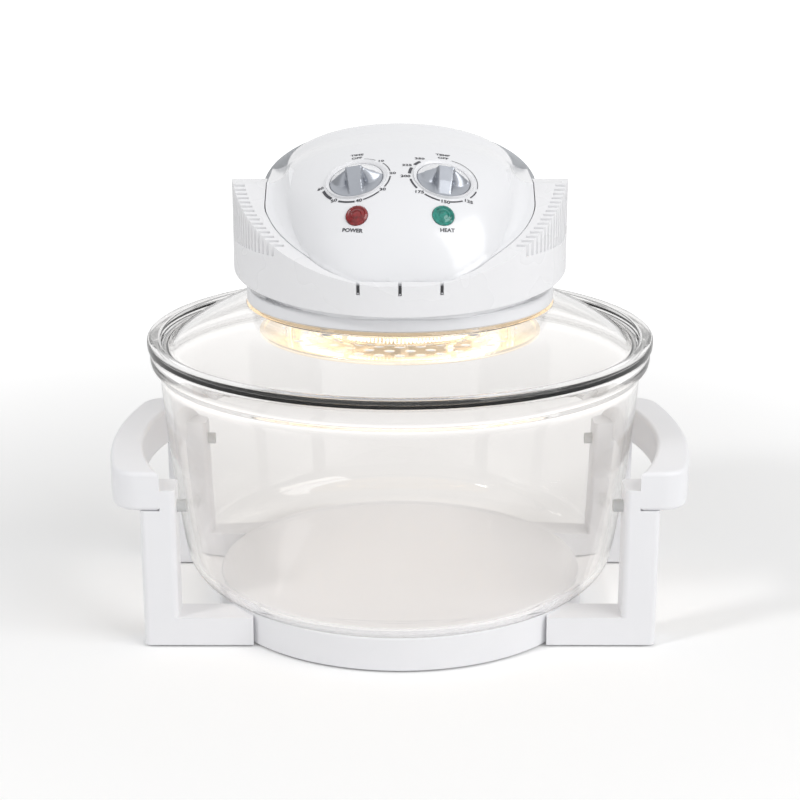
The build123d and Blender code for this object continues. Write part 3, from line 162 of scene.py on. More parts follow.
# The lid's darker, warmer tint is painted shade and a painted warm cast of the lamp's glow
lid_glass = Finish("lid_glass", (0.9, 0.893, 0.885), 0.0, Transmission_Weight=1.0, IOR=1.46)
lid_glass.uneven(14, 0.0, 0.012).grain(14, 0.00005, detail=1.0)
knob_silver = clouded(Finish("knob_silver", (0.42, 0.44, 0.48), 0.34, Metallic=0.8, Coat_Weight=0.2,
                             Coat_Roughness=0.2), 60, (0.36, 0.38, 0.42), 0.7)
knob_silver.uneven(300, 0.26, 0.38).grain(1600, 0.000004)
red_light = clouded(Finish("red_light", (0.3, 0.006, 0.009), 0.14, Coat_Weight=0.5), 420,
                    (0.1, 0.0, 0.003), 1.0)
green_light = clouded(Finish("green_light", (0.014, 0.3, 0.24), 0.14, Coat_Weight=0.5), 420,
                      (0.0, 0.11, 0.085), 1.0)
scale_ink = clouded(Finish("scale_ink", (0.035, 0.035, 0.045), 0.4), 400, (0.07, 0.07, 0.08), 1.0)
# Chrome with a painted glow: its warm emission stands for the lamp's light reflected in the heat shield
chrome_with_painted_glow = clouded(Finish("chrome_with_painted_glow", (0.86, 0.82, 0.77), 0.14, Metallic=1.0, Emission_Color=(1.0, 0.78, 0.5, 1),
                        Emission_Strength=0.2), 30, (0.76, 0.7, 0.63), 0.8)
chrome_with_painted_glow.uneven(90, 0.07, 0.2).grain(700, 0.000012)
# Warmer chrome with a stronger painted glow: the lamp's light reflected in the guard, its posts, the tube clips
# and the clamp ring
warm_chrome_with_painted_glow = clouded(Finish("warm_chrome_with_painted_glow", (0.92, 0.87, 0.8), 0.16, Metallic=1.0,
                             Emission_Color=(1.0, 0.8, 0.55, 1), Emission_Strength=0.4), 60,
                      (0.84, 0.76, 0.66), 0.8)
warm_chrome_with_painted_glow.uneven(120, 0.1, 0.24)
spun_steel = clouded(Finish("spun_steel", (0.64, 0.64, 0.65), 0.28, Metallic=1.0), 40,
                     (0.52, 0.52, 0.54), 0.8)
spun_steel.uneven(260, 0.2, 0.36).grain(1800, 0.00001)
screw_steel = clouded(Finish("screw_steel", (0.56, 0.56, 0.58), 0.3, Metallic=1.0), 200,
                      (0.42, 0.42, 0.45), 0.7)
screw_steel.uneven(500, 0.24, 0.42)
quartz = Finish("quartz", (1.0, 0.985, 0.96), 0.02, Transmission_Weight=1.0, IOR=1.3,
                Emission_Color=(1.0, 0.8, 0.55, 1), Emission_Strength=0.06)
quartz.uneven(120, 0.01, 0.06)
hot_wire = Finish("hot_wire", (0.9, 0.55, 0.25), 0.5, Emission_Color=(1.0, 0.88, 0.66, 1),
                  Emission_Strength=2.6)
hot_wire.uneven(300, 0.4, 0.6)
ceramic = clouded(Finish("ceramic", (0.8, 0.77, 0.7), 0.75), 220, (0.68, 0.63, 0.55), 0.8).grain(900, 0.0001)
black_plastic = clouded(Finish("black_plastic", (0.028, 0.028, 0.032), 0.42), 60, (0.05, 0.05, 0.055), 1.0)
black_plastic.uneven(180, 0.36, 0.5).grain(1500, 0.00003)
motor_paint = clouded(Finish("motor_paint", (0.11, 0.11, 0.12), 0.45, Metallic=0.3), 50,
                      (0.17, 0.165, 0.16), 0.8)
motor_paint.uneven(120, 0.36, 0.58).grain(500, 0.00006)
copper = clouded(Finish("copper", (0.68, 0.32, 0.15), 0.32, Metallic=1.0), 200, (0.5, 0.2, 0.09), 0.8)
copper.uneven(300, 0.25, 0.42).grain(160, 0.0003, (1, 1, 12))
brass = clouded(Finish("brass", (0.72, 0.56, 0.26), 0.25, Metallic=1.0), 300, (0.58, 0.42, 0.18), 0.7)
brass.uneven(400, 0.2, 0.35)
fan_metal = clouded(Finish("fan_metal", (0.68, 0.68, 0.69), 0.3, Metallic=1.0), 60, (0.58, 0.57, 0.56), 0.7)
fan_metal.uneven(160, 0.24, 0.4).grain(900, 0.00002)
soft_grey = clouded(Finish("soft_grey", (0.6, 0.605, 0.6), 0.72), 90, (0.52, 0.525, 0.52), 0.8)
soft_grey.grain(1200, 0.00008)
soft_black = clouded(Finish("soft_black", (0.03, 0.03, 0.03), 0.7), 90, (0.055, 0.055, 0.052), 0.9)
soft_black.grain(1300, 0.0001)
seal_grey = clouded(Finish("seal_grey", (0.68, 0.65, 0.62), 0.6), 90, (0.6, 0.57, 0.53), 0.9)
seal_grey.grain(1300, 0.00008)
neon_glass = Finish("neon_glass", (0.95, 0.7, 0.5), 0.1, Transmission_Weight=0.6,
                    Emission_Color=(1.0, 0.45, 0.2, 1), Emission_Strength=0.6)
neon_glass.uneven(200, 0.06, 0.16)


# Making pieces
MERGE = 0.000002            # points of a solid's loose triangles nearer than this are one


def merged_copy(node):
    """A bmesh of a node's solid with its triangles joined."""
    bm = bmesh.new()
    bm.from_mesh(frame["nodes"][node].data)
    bmesh.ops.remove_doubles(bm, verts=bm.verts, dist=MERGE)
    return bm


def spin_round(bm, steps, merge):
    """Spins a line once about the upright axis, and closes its seam and poles."""
    bmesh.ops.spin(bm, geom=list(bm.verts) + list(bm.edges), cent=(0, 0, 0), axis=(0, 0, 1), angle=2 * pi,
                   steps=steps, use_merge=True)
    bmesh.ops.remove_doubles(bm, verts=bm.verts, dist=merge)


def settle(name, bm, finish, node=None, body=None, crease=35):
    """Turns a bmesh into a finished piece that stands for a node or rides on a body."""
    for face in bm.faces:
        face.smooth = True
        face.material_index = 0
    mesh = bpy.data.meshes.new(name)
    bm.to_mesh(mesh)
    bm.free()
    if "custom_normal" in mesh.attributes:
        mesh.attributes.remove(mesh.attributes["custom_normal"])
    mesh.materials.clear()
    mesh.materials.append(finish.material)
    mesh.set_sharp_from_angle(angle=radians(crease))
    piece = bpy.data.objects.new(name, mesh)
    bpy.context.scene.collection.objects.link(piece)
    if node:
        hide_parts(node)
        body = BODY_OF[node]
    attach(piece, body)
    return piece


def dressed(node, finish, crease=32, edge=0.0, flat=0.6):
    """A copy of a node's shape with clean faces, smooth shading and, where asked, softened edges."""
    bm = merged_copy(node)
    if flat:
        bmesh.ops.dissolve_limit(bm, angle_limit=radians(flat), verts=bm.verts, edges=bm.edges,
                                 delimit={"NORMAL"})
    piece = settle("shown_" + node, bm, finish, node=node, crease=crease)
    if edge:
        softening = piece.modifiers.new("softened_edges", "BEVEL")
        softening.width = edge
        softening.segments = 2
        softening.limit_method = "ANGLE"
        softening.angle_limit = radians(crease)
        softening.harden_normals = False
        softening.use_clamp_overlap = True
    if flat:
        levelling = piece.modifiers.new("even_shading", "WEIGHTED_NORMAL")
        levelling.keep_sharp = True
    return piece


LARGE_ROUNDING = 10         # millimetres, past which a rounding gets more segments


def turned(name, outline, finish, node):
    """A closed outline of radius, height and rounding in millimetres, spun about the upright axis."""
    bm = bmesh.new()
    corners = [bm.verts.new((radius * MM, 0, height * MM)) for radius, height, _ in outline]
    bm.faces.new(corners)
    for corner, (_, _, rounding) in zip(corners, outline):
        if rounding:
            segments = 14 if rounding > LARGE_ROUNDING else 4
            bmesh.ops.bevel(bm, geom=[corner], offset=rounding * MM, offset_type="OFFSET", affect="VERTICES",
                            segments=segments, profile=0.5, material=-1, clamp_overlap=True)
    bmesh.ops.delete(bm, geom=list(bm.faces), context="FACES_ONLY")
    spin_round(bm, steps=160, merge=0.00001)
    bmesh.ops.recalc_face_normals(bm, faces=bm.faces)
    return settle(name, bm, finish, node=node, crease=30)


SKIRT_PUSH = 0.0008
SKIRT_FOOT = 0.232          # lower down, the handle hides the skirt
SKIRT_REAR = 0.02           # further back, the skirt lies under the rear cover
FORWARD_SHARE = 0.6         # how much the push turns forward with a point's place
UPRIGHT = 0.12              # the most that an upright wall's normal leans up or down


def widen_skirt(mesh):
    """Brings the skirt's upright wall nearer to the handle round it, so that less of the gap shows."""
    wall = set()
    for polygon in mesh.polygons:
        centre, normal = polygon.center, polygon.normal
        faces_out = normal.x * centre.x + normal.y * centre.y > 0.02 * abs(normal.x)
        if faces_out and abs(normal.z) < UPRIGHT and centre.y < SKIRT_REAR and centre.z > SKIRT_FOOT:
            wall.update(polygon.vertices)
    for index in wall:
        point = mesh.vertices[index].co
        push = Vector((point.x, FORWARD_SHARE * min(0.0, point.y), 0)).normalized()
        mesh.vertices[index].co = point + SKIRT_PUSH * push


ARCH_CENTRE = 0.24          # height that the arch closes towards
ARCH_INNER_REACH = 0.012
ARCH_OUTER_REACH = 0.0029
ARCH_FOOT = 0.2217
BULKHEAD_SETBACK = 0.0001
BULKHEAD_THICKNESS = 0.0015


def cover_bulkhead():
    """An arched wall just inside the rear cover's mouth, which closes the step down to the housing."""
    bm = merged_copy("rear_cover")
    mouth = min(vert.co.y for vert in bm.verts)
    arch = {face for face in bm.faces
            if face.normal.y < -0.98 and abs(face.calc_center_median().y - mouth) < 0.0002}
    moves = {}
    for vert in {vert for face in arch for vert in face.verts}:
        inward = Vector((-vert.co.x, 0, ARCH_CENTRE - vert.co.z)).normalized()
        faces_in = any(face.normal.y > -0.5 and face.normal.dot(inward) > 0.2 for face in vert.link_faces)
        moves[vert] = (ARCH_INNER_REACH if faces_in else ARCH_OUTER_REACH) * inward
    bmesh.ops.delete(bm, geom=[face for face in bm.faces if face not in arch], context="FACES")
    for vert in bm.verts:
        vert.co += moves[vert]
        vert.co.y += BULKHEAD_SETBACK
        vert.co.z = max(vert.co.z, ARCH_FOOT)
    grown = bmesh.ops.extrude_face_region(bm, geom=list(bm.faces), use_keep_orig=True)["geom"]
    far_side = [item for item in grown if isinstance(item, bmesh.types.BMVert)]
    bmesh.ops.translate(bm, verts=far_side, vec=(0, BULKHEAD_THICKNESS, 0))
    bmesh.ops.recalc_face_normals(bm, faces=bm.faces)
    # The bulkhead takes the rear cover's painted-shade grey
    settle("cover_bulkhead", bm, cover_painted_shade, body="head")


# Glass bowl and lid
BOWL_BOTTOM = 23.52         # a hair above the pedestal, so that the two faces never coincide
BOWL_FLOOR = 28.5
BOWL_RIM = 183.2
EVEN_FLOOR = 115            # radius inside which the floor is flat
LID_FOOT = 183.5
LID_EDGE_TOP = 189.1
LID_NECK = 207.747
LID_TOP = 212.247
BOWL_OUTLINE = [
    (0, BOWL_BOTTOM, 0), (EVEN_FLOOR, BOWL_BOTTOM, 0), (139.78, BOWL_BOTTOM, 21.9), (153.49, 104.71, 56),
    (157.3, 165.0, 3), (158.6, 168.8, 2), (162.6, 171.8, 2), (163.5, 175.4, 1), (163.5, BOWL_RIM, 2),
    (152.7, BOWL_RIM, 0.9), (152.3, 165.0, 0), (148.52, 105.3, 52), (135.56, BOWL_FLOOR, 17.7),
    (EVEN_FLOOR, BOWL_FLOOR, 0), (0, BOWL_FLOOR, 0)]
LID_OUTLINE = [
    (165.0, LID_FOOT, 0.8), (165.0, LID_EDGE_TOP, 1.5), (157.2, LID_EDGE_TOP, 1.2), (154.0, 183.4, 1.2),
    (151.0, 184.1, 0.6), (128.7, 202.8, 26), (100.2, 210.5, 0), (99.2, LID_TOP, 0.3), (93.0, LID_TOP, 0.3),
    (93.0, LID_NECK, 0.3), (97.7, LID_NECK, 0.3), (97.7, 206.53, 0), (126.4, 199.1, 26),
    (149.0, 179.86, 0), (150.8, 179.46, 0.3), (151.8, 180.26, 0.3), (151.8, LID_FOOT, 0.3)]
bowl = turned("glass_bowl_wall", BOWL_OUTLINE, bowl_glass, "glass_bowl")
lid = turned("glass_lid_dome", LID_OUTLINE, lid_glass, "glass_lid")
for glass in (bowl, lid):
    glass.visible_shadow = False
    glass.visible_diffuse = False

# Stand
LEVEL = 0.9999              # upward part of a level face's normal
for leg in ("front_left_leg", "front_right_leg", "rear_left_leg", "rear_right_leg"):
    dressed(leg, stand_white)
dressed("left_grip", stand_white)
dressed("right_grip", stand_white)
pedestal = dressed("base_pedestal", stand_white).data
# Level faces keep their own normals, so that the rounded edge doesn't shade the top
for polygon in pedestal.polygons:
    polygon.use_smooth = abs(polygon.normal.z) < LEVEL
dressed("bowl_bumpers", soft_grey, edge=0.0004)
dressed("foot_pads", soft_black, edge=0.0004)
dressed("leg_screws", screw_steel, edge=0.0003)

# Head shells and handle
dressed("collar_ring", head_white)
housing = dressed("control_housing", head_white, crease=28)
widen_skirt(housing.data)
dressed("rear_cover", cover_painted_shade)
cover_bulkhead()
dressed("carry_handle", handle_white, crease=30, flat=0)
dressed("handle_pivots", screw_steel, edge=0.0003)
dressed("lid_gasket", seal_grey)
dressed("clamp_ring", warm_chrome_with_painted_glow, edge=0.0002)
dressed("clamp_screws", screw_steel)
dressed("mains_inlet", black_plastic, edge=0.0003)
dressed("inlet_pins", brass, edge=0.0002)


HANDLE_RADIUS = 0.1075
SLOT_TOP = 0.2425
SLOT_SPACING = 0.025
# The dark blocks in the handle's slots are painted shade, not parts of the handle
SHADE_BLOCK_SIZE = (0.00184, 0.0062, 0.0040)
SHADE_BLOCK_DEPTH = 0.0036        # of its middle, behind the handle's front
SHADE_BLOCK_DROP = 0.0025         # of its middle, below the slot's top
SHADE_BLOCK_EDGE = 0.0003
PIN_RADIUS = 0.0007
PIN_DEPTH = 0.0009
PIN_DROP = 0.0048


def handle_slots():
    """Painted shade: dark blocks in the three slots of the handle's front, standing for the shade inside them,
    with a small pin under each.
    """
    shade_blocks = bmesh.new()
    pins = bmesh.new()
    for across in (-SLOT_SPACING, 0, SLOT_SPACING):
        front = -sqrt(HANDLE_RADIUS ** 2 - across ** 2)
        block = bmesh.ops.create_cube(shade_blocks, size=1.0)["verts"]
        bmesh.ops.scale(shade_blocks, verts=block, vec=SHADE_BLOCK_SIZE)
        bmesh.ops.translate(shade_blocks, verts=block, vec=(across, front + SHADE_BLOCK_DEPTH, SLOT_TOP - SHADE_BLOCK_DROP))
        dot = bmesh.ops.create_uvsphere(pins, u_segments=16, v_segments=10, radius=PIN_RADIUS)["verts"]
        bmesh.ops.translate(pins, verts=dot, vec=(across, front + PIN_DEPTH, SLOT_TOP - PIN_DROP))
    bmesh.ops.bevel(shade_blocks, geom=list(shade_blocks.edges), offset=SHADE_BLOCK_EDGE, offset_type="OFFSET",
                    affect="EDGES", segments=2, profile=0.5, material=-1)
    settle("slot_painted_shade", shade_blocks, black_plastic, body="handle")
    settle("slot_pins", pins, screw_steel, body="handle")


handle_slots()

# Heater
dressed("heat_shield", chrome_with_painted_glow)
dressed("lamp_guard", warm_chrome_with_painted_glow)
dressed("guard_posts", warm_chrome_with_painted_glow)
dressed("halogen_tube", quartz)
dressed("tube_end_caps", ceramic, edge=0.0006)
dressed("tube_clips", warm_chrome_with_painted_glow, edge=0.0001)
dressed("convection_fan", fan_metal, edge=0.0001)

TUBE_RING_RADIUS = 0.062
FILAMENT_TURNS = 150
STEPS_PER_TURN = 10
FILAMENT_START = radians(106)
FILAMENT_SPAN = radians(328)
WIRE_RADIUS = 0.00045
COIL_RADIUS = 0.003


def filament_coil():
    """A fine coil, wound straight first and then bent round the ring of the halogen tube."""
    steps = STEPS_PER_TURN * FILAMENT_TURNS
    bm = bmesh.new()
    wire = bmesh.ops.create_circle(bm, segments=6, radius=WIRE_RADIUS)["verts"]
    bmesh.ops.translate(bm, verts=wire, vec=(0, COIL_RADIUS, 0))
    bmesh.ops.spin(bm, geom=wire + list(bm.edges), cent=(0, 0, 0), axis=(1, 0, 0),
                   angle=2 * pi * FILAMENT_TURNS, dvec=(TUBE_RING_RADIUS * FILAMENT_SPAN / steps, 0, 0),
                   steps=steps, use_merge=False)
    tube_low, tube_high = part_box("halogen_tube")
    tube_height = (tube_low[2] + tube_high[2]) / 2
    for vert in bm.verts:
        turn = FILAMENT_START + vert.co.x / TUBE_RING_RADIUS
        reach = TUBE_RING_RADIUS + vert.co.y
        vert.co = (reach * cos(turn), reach * sin(turn), tube_height + vert.co.z)
    bmesh.ops.holes_fill(bm, edges=bm.edges, sides=6)
    bmesh.ops.recalc_face_normals(bm, faces=bm.faces)
    settle("filament_coil", bm, hot_wire, node="heating_filament", crease=60)


filament_coil()

# Pieces inside the head keep their solids
for node, finish in (("housing_screws", screw_steel), ("neon_lamps", neon_glass),
                     ("timer_body", black_plastic), ("thermostat_body", black_plastic),
                     ("fan_motor", motor_paint), ("motor_coil", copper),
                     ("shield_spacers", spun_steel), ("safety_switch", black_plastic),
                     ("terminal_block", ceramic), ("thermal_cutout", black_plastic),
                     ("switch_plunger", red_light), ("timer_shaft", screw_steel),
                     ("thermostat_shaft", screw_steel), ("fan_shaft", screw_steel),
                     ("cooling_fan", black_plastic)):
    solid = frame["nodes"][node]
    solid.data.materials.clear()
    solid.data.materials.append(finish.material)

# Printed scales and words, laid on the panel
bm = bmesh.new()
bm.from_mesh(housing.data)
panel = BVHTree.FromBMesh(bm)
bm.free()


def dial_frame(joint):
    """Matrix of a dial's face: its Y axis straight up the slope, its Z axis outwards."""
    outward = Vector(joint["axis"]).normalized()
    upward = Vector((0, outward.z, -outward.y)).normalized()
    across = upward.cross(outward).normalized()
    upward = outward.cross(across)
    turn = Matrix((across, upward, outward)).transposed().to_4x4()
    return Matrix.Translation(Vector(joint["pos_m"])) @ turn


DIAL_ABOVE = {"power_lens": "timer_turn", "heat_lens": "thermostat_turn"}
LENS_SIDES = 18
# Radius, depth below the lens's top and turn in degrees of each ring of facets
LENS_RINGS = [(0.0069, 0.0058, 0), (0.0069, 0.0016, 0), (0.0066, 0.0007, 10), (0.0056, 0.0001, 0),
              (0.0050, 0.0007, 10), (0.0033, 0.0000, 0), (0.0028, 0.0006, 10), (0.0012, 0.0001, 0)]
AREA_WEIGHT = 1e4           # lets the largest face win among those that point outwards


def panel_light(node, finish):
    """A round lens with rings of cut facets in its face."""
    dial_outward = dial_frame(JOINTS[DIAL_ABOVE[node]]).to_3x3() @ Vector((0, 0, 1))
    mesh = frame["nodes"][node].data
    middle = sum((vert.co for vert in mesh.vertices), Vector()) / len(mesh.vertices)
    face = max(mesh.polygons,
               key=lambda polygon: polygon.normal.dot(dial_outward) + polygon.area * AREA_WEIGHT)
    outward = face.normal.copy()
    top = max(vert.co.dot(outward) for vert in mesh.vertices)
    middle += (top - middle.dot(outward)) * outward
    turn = outward.to_track_quat("Z", "Y").to_matrix().to_4x4()
    bm = bmesh.new()
    rings = []
    for radius, depth, twist in LENS_RINGS:
        circle = bmesh.ops.create_circle(bm, segments=LENS_SIDES, radius=radius)["verts"]
        bmesh.ops.rotate(bm, verts=circle, cent=(0, 0, 0), matrix=Matrix.Rotation(radians(twist), 3, "Z"))
        bmesh.ops.transform(bm, matrix=Matrix.Translation(middle - depth * outward) @ turn, verts=circle)
        rings.append([edge for edge in bm.edges if edge.verts[0] in circle and edge.verts[1] in circle])
    for outer, inner in zip(rings, rings[1:]):
        bmesh.ops.bridge_loops(bm, edges=outer + inner)
    bmesh.ops.contextual_create(bm, geom=rings[0])
    bmesh.ops.contextual_create(bm, geom=rings[-1])
    bmesh.ops.triangulate(bm, faces=bm.faces)
    bmesh.ops.recalc_face_normals(bm, faces=bm.faces)
    settle("shown_" + node, bm, finish, node=node, crease=9)


panel_light("power_lens", red_light)
panel_light("heat_lens", green_light)

# Knobs, in millimetres about the dial's middle: x across, y up the slope, height outwards
KNOB_RADIUS = 16.3
KNOB_SKIRT = -1.5
KNOB_CREST = 7.7
BACK_START = 1.5            # the knob's back half begins here
NOSE_START = -8             # the grip bar drops more steeply in front of this
NOSE_DROP = 4.5
BAR_SLOPE = 0.47
NOSE_SLOPE = 0.66
BAR_HALF = 3.5              # half of the grip bar's width at its front end
SCOOP_HALF = 4.9            # where the scoop reaches its depth, also at the front end
BAR_FLARE = 0.06
SCOOP_FOOT = -1.2
SCOOP_LENGTH = 4.6
SCOOP_MIDDLE = 9.2
SCOOP_WIDTH = 5.2


def blend_over(value, start, end):
    """Goes smoothly from 0 at start to 1 at end."""
    share = min(1.0, max(0.0, (value - start) / (end - start)))
    return share * share * (3 - 2 * share)


def knob_top(x, y):
    """Height of a knob's top in millimetres: a low dome, scooped in front on both sides of a grip bar."""
    x = abs(x)
    reach = min(1.0, sqrt(x * x + y * y) / KNOB_RADIUS)
    crest = KNOB_SKIRT + (KNOB_CREST - KNOB_SKIRT) * (1 - (x / KNOB_RADIUS) ** 1.35)
    depth = sqrt(max(0.0, KNOB_RADIUS ** 2 - x * x)) + 0.01
    if y > BACK_START:
        fall = min(1.0, (y - BACK_START) / (depth - BACK_START if depth > 2 else 0.5))
        return crest - (crest - KNOB_SKIRT) * fall ** 1.3
    if y > NOSE_START:
        bar = KNOB_CREST - BAR_SLOPE * (BACK_START - y)
    else:
        bar = KNOB_CREST - NOSE_DROP - NOSE_SLOPE * (NOSE_START - y)
    bar = max(KNOB_SKIRT, bar)
    foot = SCOOP_FOOT - SCOOP_LENGTH * max(0.0, 1 - ((x - SCOOP_MIDDLE) / SCOOP_WIDTH) ** 2)
    scoop = KNOB_SKIRT + (crest - KNOB_SKIRT) * blend_over(y, foot, BACK_START) ** 0.8
    flare = BAR_FLARE * (y + 16)
    edge = blend_over(x, BAR_HALF + flare, SCOOP_HALF + flare)
    return bar + (min(scoop, bar) - bar) * edge


# Drop and outward shift of the two steps of a knob's skirt
SKIRT_STEPS = [(0.0005, 0.0003), (0.0022, 0.0)]


def dial_knob(node, joint):
    """A silver knob in one turning piece, its back half white: a painted reflection of the bright room on the
    silver.
    """
    bm = bmesh.new()
    spoke = [bm.verts.new((0, 0, 0)), bm.verts.new((0, KNOB_RADIUS * MM, 0))]
    line = bm.edges.new(spoke)
    bmesh.ops.subdivide_edges(bm, edges=[line], cuts=33)
    spin_round(bm, steps=128, merge=0.000005)
    rim = [edge for edge in bm.edges if edge.is_boundary]
    for vert in bm.verts:
        vert.co.z = knob_top(vert.co.x / MM, vert.co.y / MM) * MM
    for drop, shift in SKIRT_STEPS:
        grown = bmesh.ops.extrude_edge_only(bm, edges=rim)["geom"]
        rim = [item for item in grown if isinstance(item, bmesh.types.BMEdge)]
        for vert in [item for item in grown if isinstance(item, bmesh.types.BMVert)]:
            side = Vector((vert.co.x, vert.co.y, 0)).normalized()
            vert.co += shift * side - Vector((0, 0, drop))
    bmesh.ops.contextual_create(bm, geom=rim)
    bmesh.ops.recalc_face_normals(bm, faces=bm.faces)
    # Faces behind the crest take the head's white: painted reflection on the knob's back half
    reflection_faces = [face.calc_center_median().y > BACK_START * MM for face in bm.faces]
    bm.transform(dial_frame(JOINTS[joint]))
    piece = settle(node + "_shape", bm, knob_silver, node=node, crease=38)
    piece.data.materials.append(head_white.material)
    for polygon, painted_reflection in zip(piece.data.polygons, reflection_faces):
        polygon.material_index = int(painted_reflection)


dial_knob("timer_knob", "timer_turn")
dial_knob("thermostat_knob", "thermostat_turn")

DISH_OUTLINE = [(16.85, -4.5), (16.85, -1.5), (17.1, -1.15), (17.7, -0.75), (18.4, -0.4), (18.95, -0.22),
                (18.95, -4.5)]


def dial_dish(name, joint):
    """A white ring that leads softly from the panel down to the knob."""
    bm = bmesh.new()
    points = [bm.verts.new((0, radius * MM, height * MM)) for radius, height in DISH_OUTLINE]
    for here, after in zip(points, points[1:] + points[:1]):
        bm.edges.new((here, after))
    spin_round(bm, steps=96, merge=0.000005)
    bmesh.ops.recalc_face_normals(bm, faces=bm.faces)
    bm.transform(dial_frame(JOINTS[joint]))
    settle(name, bm, head_white, body="head")


dial_dish("timer_dish", "timer_turn")
dial_dish("thermostat_dish", "thermostat_turn")


PRINT_PROUD = 0.0002
ARC_RADIUS = 0.0213
NUMBER_SIZE = 0.0031
WORD_SIZE = 0.0029
STROKE_GROWTH = 0.00009     # thickens the letters' strokes
DIAL_STRETCH = 1.3
LAMP_STRETCH = 1.25
HEADING_RADIUS = 0.0268
OFF_RADIUS = 0.0227
LONGEST_EDGE = 0.0009       # longer edges of print are cut, so that it follows the panel
WORD_BELOW_LENS = 0.0092


def print_on_panel(bm, place):
    """Moves flat print from a face's frame onto the panel under it."""
    outward = place.to_3x3() @ Vector((0, 0, 1))
    for vert in bm.verts:
        start = place @ vert.co
        hit, _, _, _ = panel.ray_cast(start + 0.03 * outward, -outward, 0.08)
        vert.co = hit + PRINT_PROUD * outward if hit else start


def cut_fine(bm):
    """Cuts print into small faces."""
    bmesh.ops.triangulate(bm, faces=bm.faces)
    long_edges = [edge for edge in bm.edges if edge.calc_length() > LONGEST_EDGE]
    bmesh.ops.subdivide_edges(bm, edges=long_edges, cuts=2)


def scale_arc(bm, start, end, width):
    """A printed arc of one width, from one clock angle to another in degrees."""
    steps = max(3, int(abs(end - start) / 3))
    inner = bm.verts.new((0, ARC_RADIUS - width / 2, 0))
    outer = bm.verts.new((0, ARC_RADIUS + width / 2, 0))
    edge = bm.edges.new((inner, outer))
    bmesh.ops.rotate(bm, verts=[inner, outer], cent=(0, 0, 0), matrix=Matrix.Rotation(radians(start), 3, "Z"))
    bmesh.ops.spin(bm, geom=[inner, outer, edge], cent=(0, 0, 0), axis=(0, 0, 1), angle=radians(end - start),
                   steps=steps, use_merge=False)


def lettering(bm, words, centre, size, stretch):
    """Adds a word as flat faces about a point of the dial's face."""
    text = bpy.data.curves.new(words, "FONT")
    text.body = words
    text.size = size
    text.align_x = "CENTER"
    text.align_y = "CENTER"
    text.resolution_u = 3
    text.offset = STROKE_GROWTH
    holder = bpy.data.objects.new(words, text)
    mesh = bpy.data.meshes.new_from_object(holder)
    mesh.transform(Matrix.Translation((centre[0], centre[1], 0)) @ Matrix.Diagonal((stretch, 1, 1, 1)))
    bm.from_mesh(mesh)
    bpy.data.objects.remove(holder)
    bpy.data.meshes.remove(mesh)


def dial_print(name, joint, arcs, numbers, heading):
    """The scale round a dial: arcs, numbers, OFF and a heading."""
    bm = bmesh.new()
    for start, end, width in arcs:
        scale_arc(bm, start, end, width)
    for words, angle, radius in numbers:
        centre = (-radius * sin(radians(angle)), radius * cos(radians(angle)))
        lettering(bm, words, centre, NUMBER_SIZE, DIAL_STRETCH)
    lettering(bm, heading, (0, HEADING_RADIUS), WORD_SIZE, DIAL_STRETCH)
    lettering(bm, "OFF", (0, OFF_RADIUS), WORD_SIZE, DIAL_STRETCH)
    cut_fine(bm)
    print_on_panel(bm, dial_frame(JOINTS[joint]))
    settle(name, bm, scale_ink, body="head")


def lamp_word(name, words, lens, lean, shift):
    """The word under a light, leaning as the panel does there."""
    low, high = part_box(lens)
    place = dial_frame(JOINTS[DIAL_ABOVE[lens]])
    centre = place.inverted() @ ((Vector(low) + Vector(high)) / 2)
    bm = bmesh.new()
    lettering(bm, words, (0, 0), WORD_SIZE, LAMP_STRETCH)
    cut_fine(bm)
    bmesh.ops.rotate(bm, verts=bm.verts, cent=(0, 0, 0), matrix=Matrix.Rotation(radians(lean), 3, "Z"))
    bmesh.ops.translate(bm, verts=bm.verts, vec=(centre.x + shift, centre.y - WORD_BELOW_LENS, 0))
    print_on_panel(bm, place)
    settle(name, bm, scale_ink, body="head")


# Arcs: start and end angle in degrees, width. Numbers: text, angle, distance from the dial's middle
dial_print("timer_scale", "timer_turn",
           [(-13, -34, 0.0003), (-51, -80, 0.0006), (-95, -124, 0.0008), (-138, -168, 0.0009),
            (-182, -211, 0.0012), (-226, -254, 0.0018)],
           [("10", -43, 0.0222), ("20", -87, 0.0226), ("30", -131, 0.0218), ("40", -175, 0.0213),
            ("50", -219, 0.0218), ("60", -263, 0.0226)], "TIME")
dial_print("thermostat_scale", "thermostat_turn",
           [(-14, -100, 0.0004), (-108, -130, 0.0008), (-147, -170, 0.0009), (-187, -214, 0.001),
            (-232, -257, 0.0012), (-273, -291, 0.0019), (-302, -317, 0.0019)],
           [("125", -138, 0.0228), ("150", -178, 0.0216), ("175", -223, 0.0224), ("200", -265, 0.0238),
            ("225", -295, 0.025), ("250", -323, 0.0244)], "TEMP")

lamp_word("power_word", "POWER", "power_lens", lean=-13, shift=-0.0035)
lamp_word("heat_word", "HEAT", "heat_lens", lean=9, shift=0.0033)

# Floor, room and lights
def larger(tree, first, second):
    """The larger of two values."""
    node = tree.nodes.new("ShaderNodeMath")
    node.operation = "MAXIMUM"
    tree.links.new(first, node.inputs[0])
    tree.links.new(second, node.inputs[1])
    return node.outputs[0]


def smooth_range(tree, value, start, end, low, high):
    """Goes smoothly from low to high while a value goes from start to end."""
    node = tree.nodes.new("ShaderNodeMapRange")
    node.interpolation_type = "SMOOTHSTEP"
    node.inputs["From Min"].default_value = start
    node.inputs["From Max"].default_value = end
    node.inputs["To Min"].default_value = low
    node.inputs["To Max"].default_value = high
    tree.links.new(value, node.inputs["Value"])
    return node.outputs["Result"]


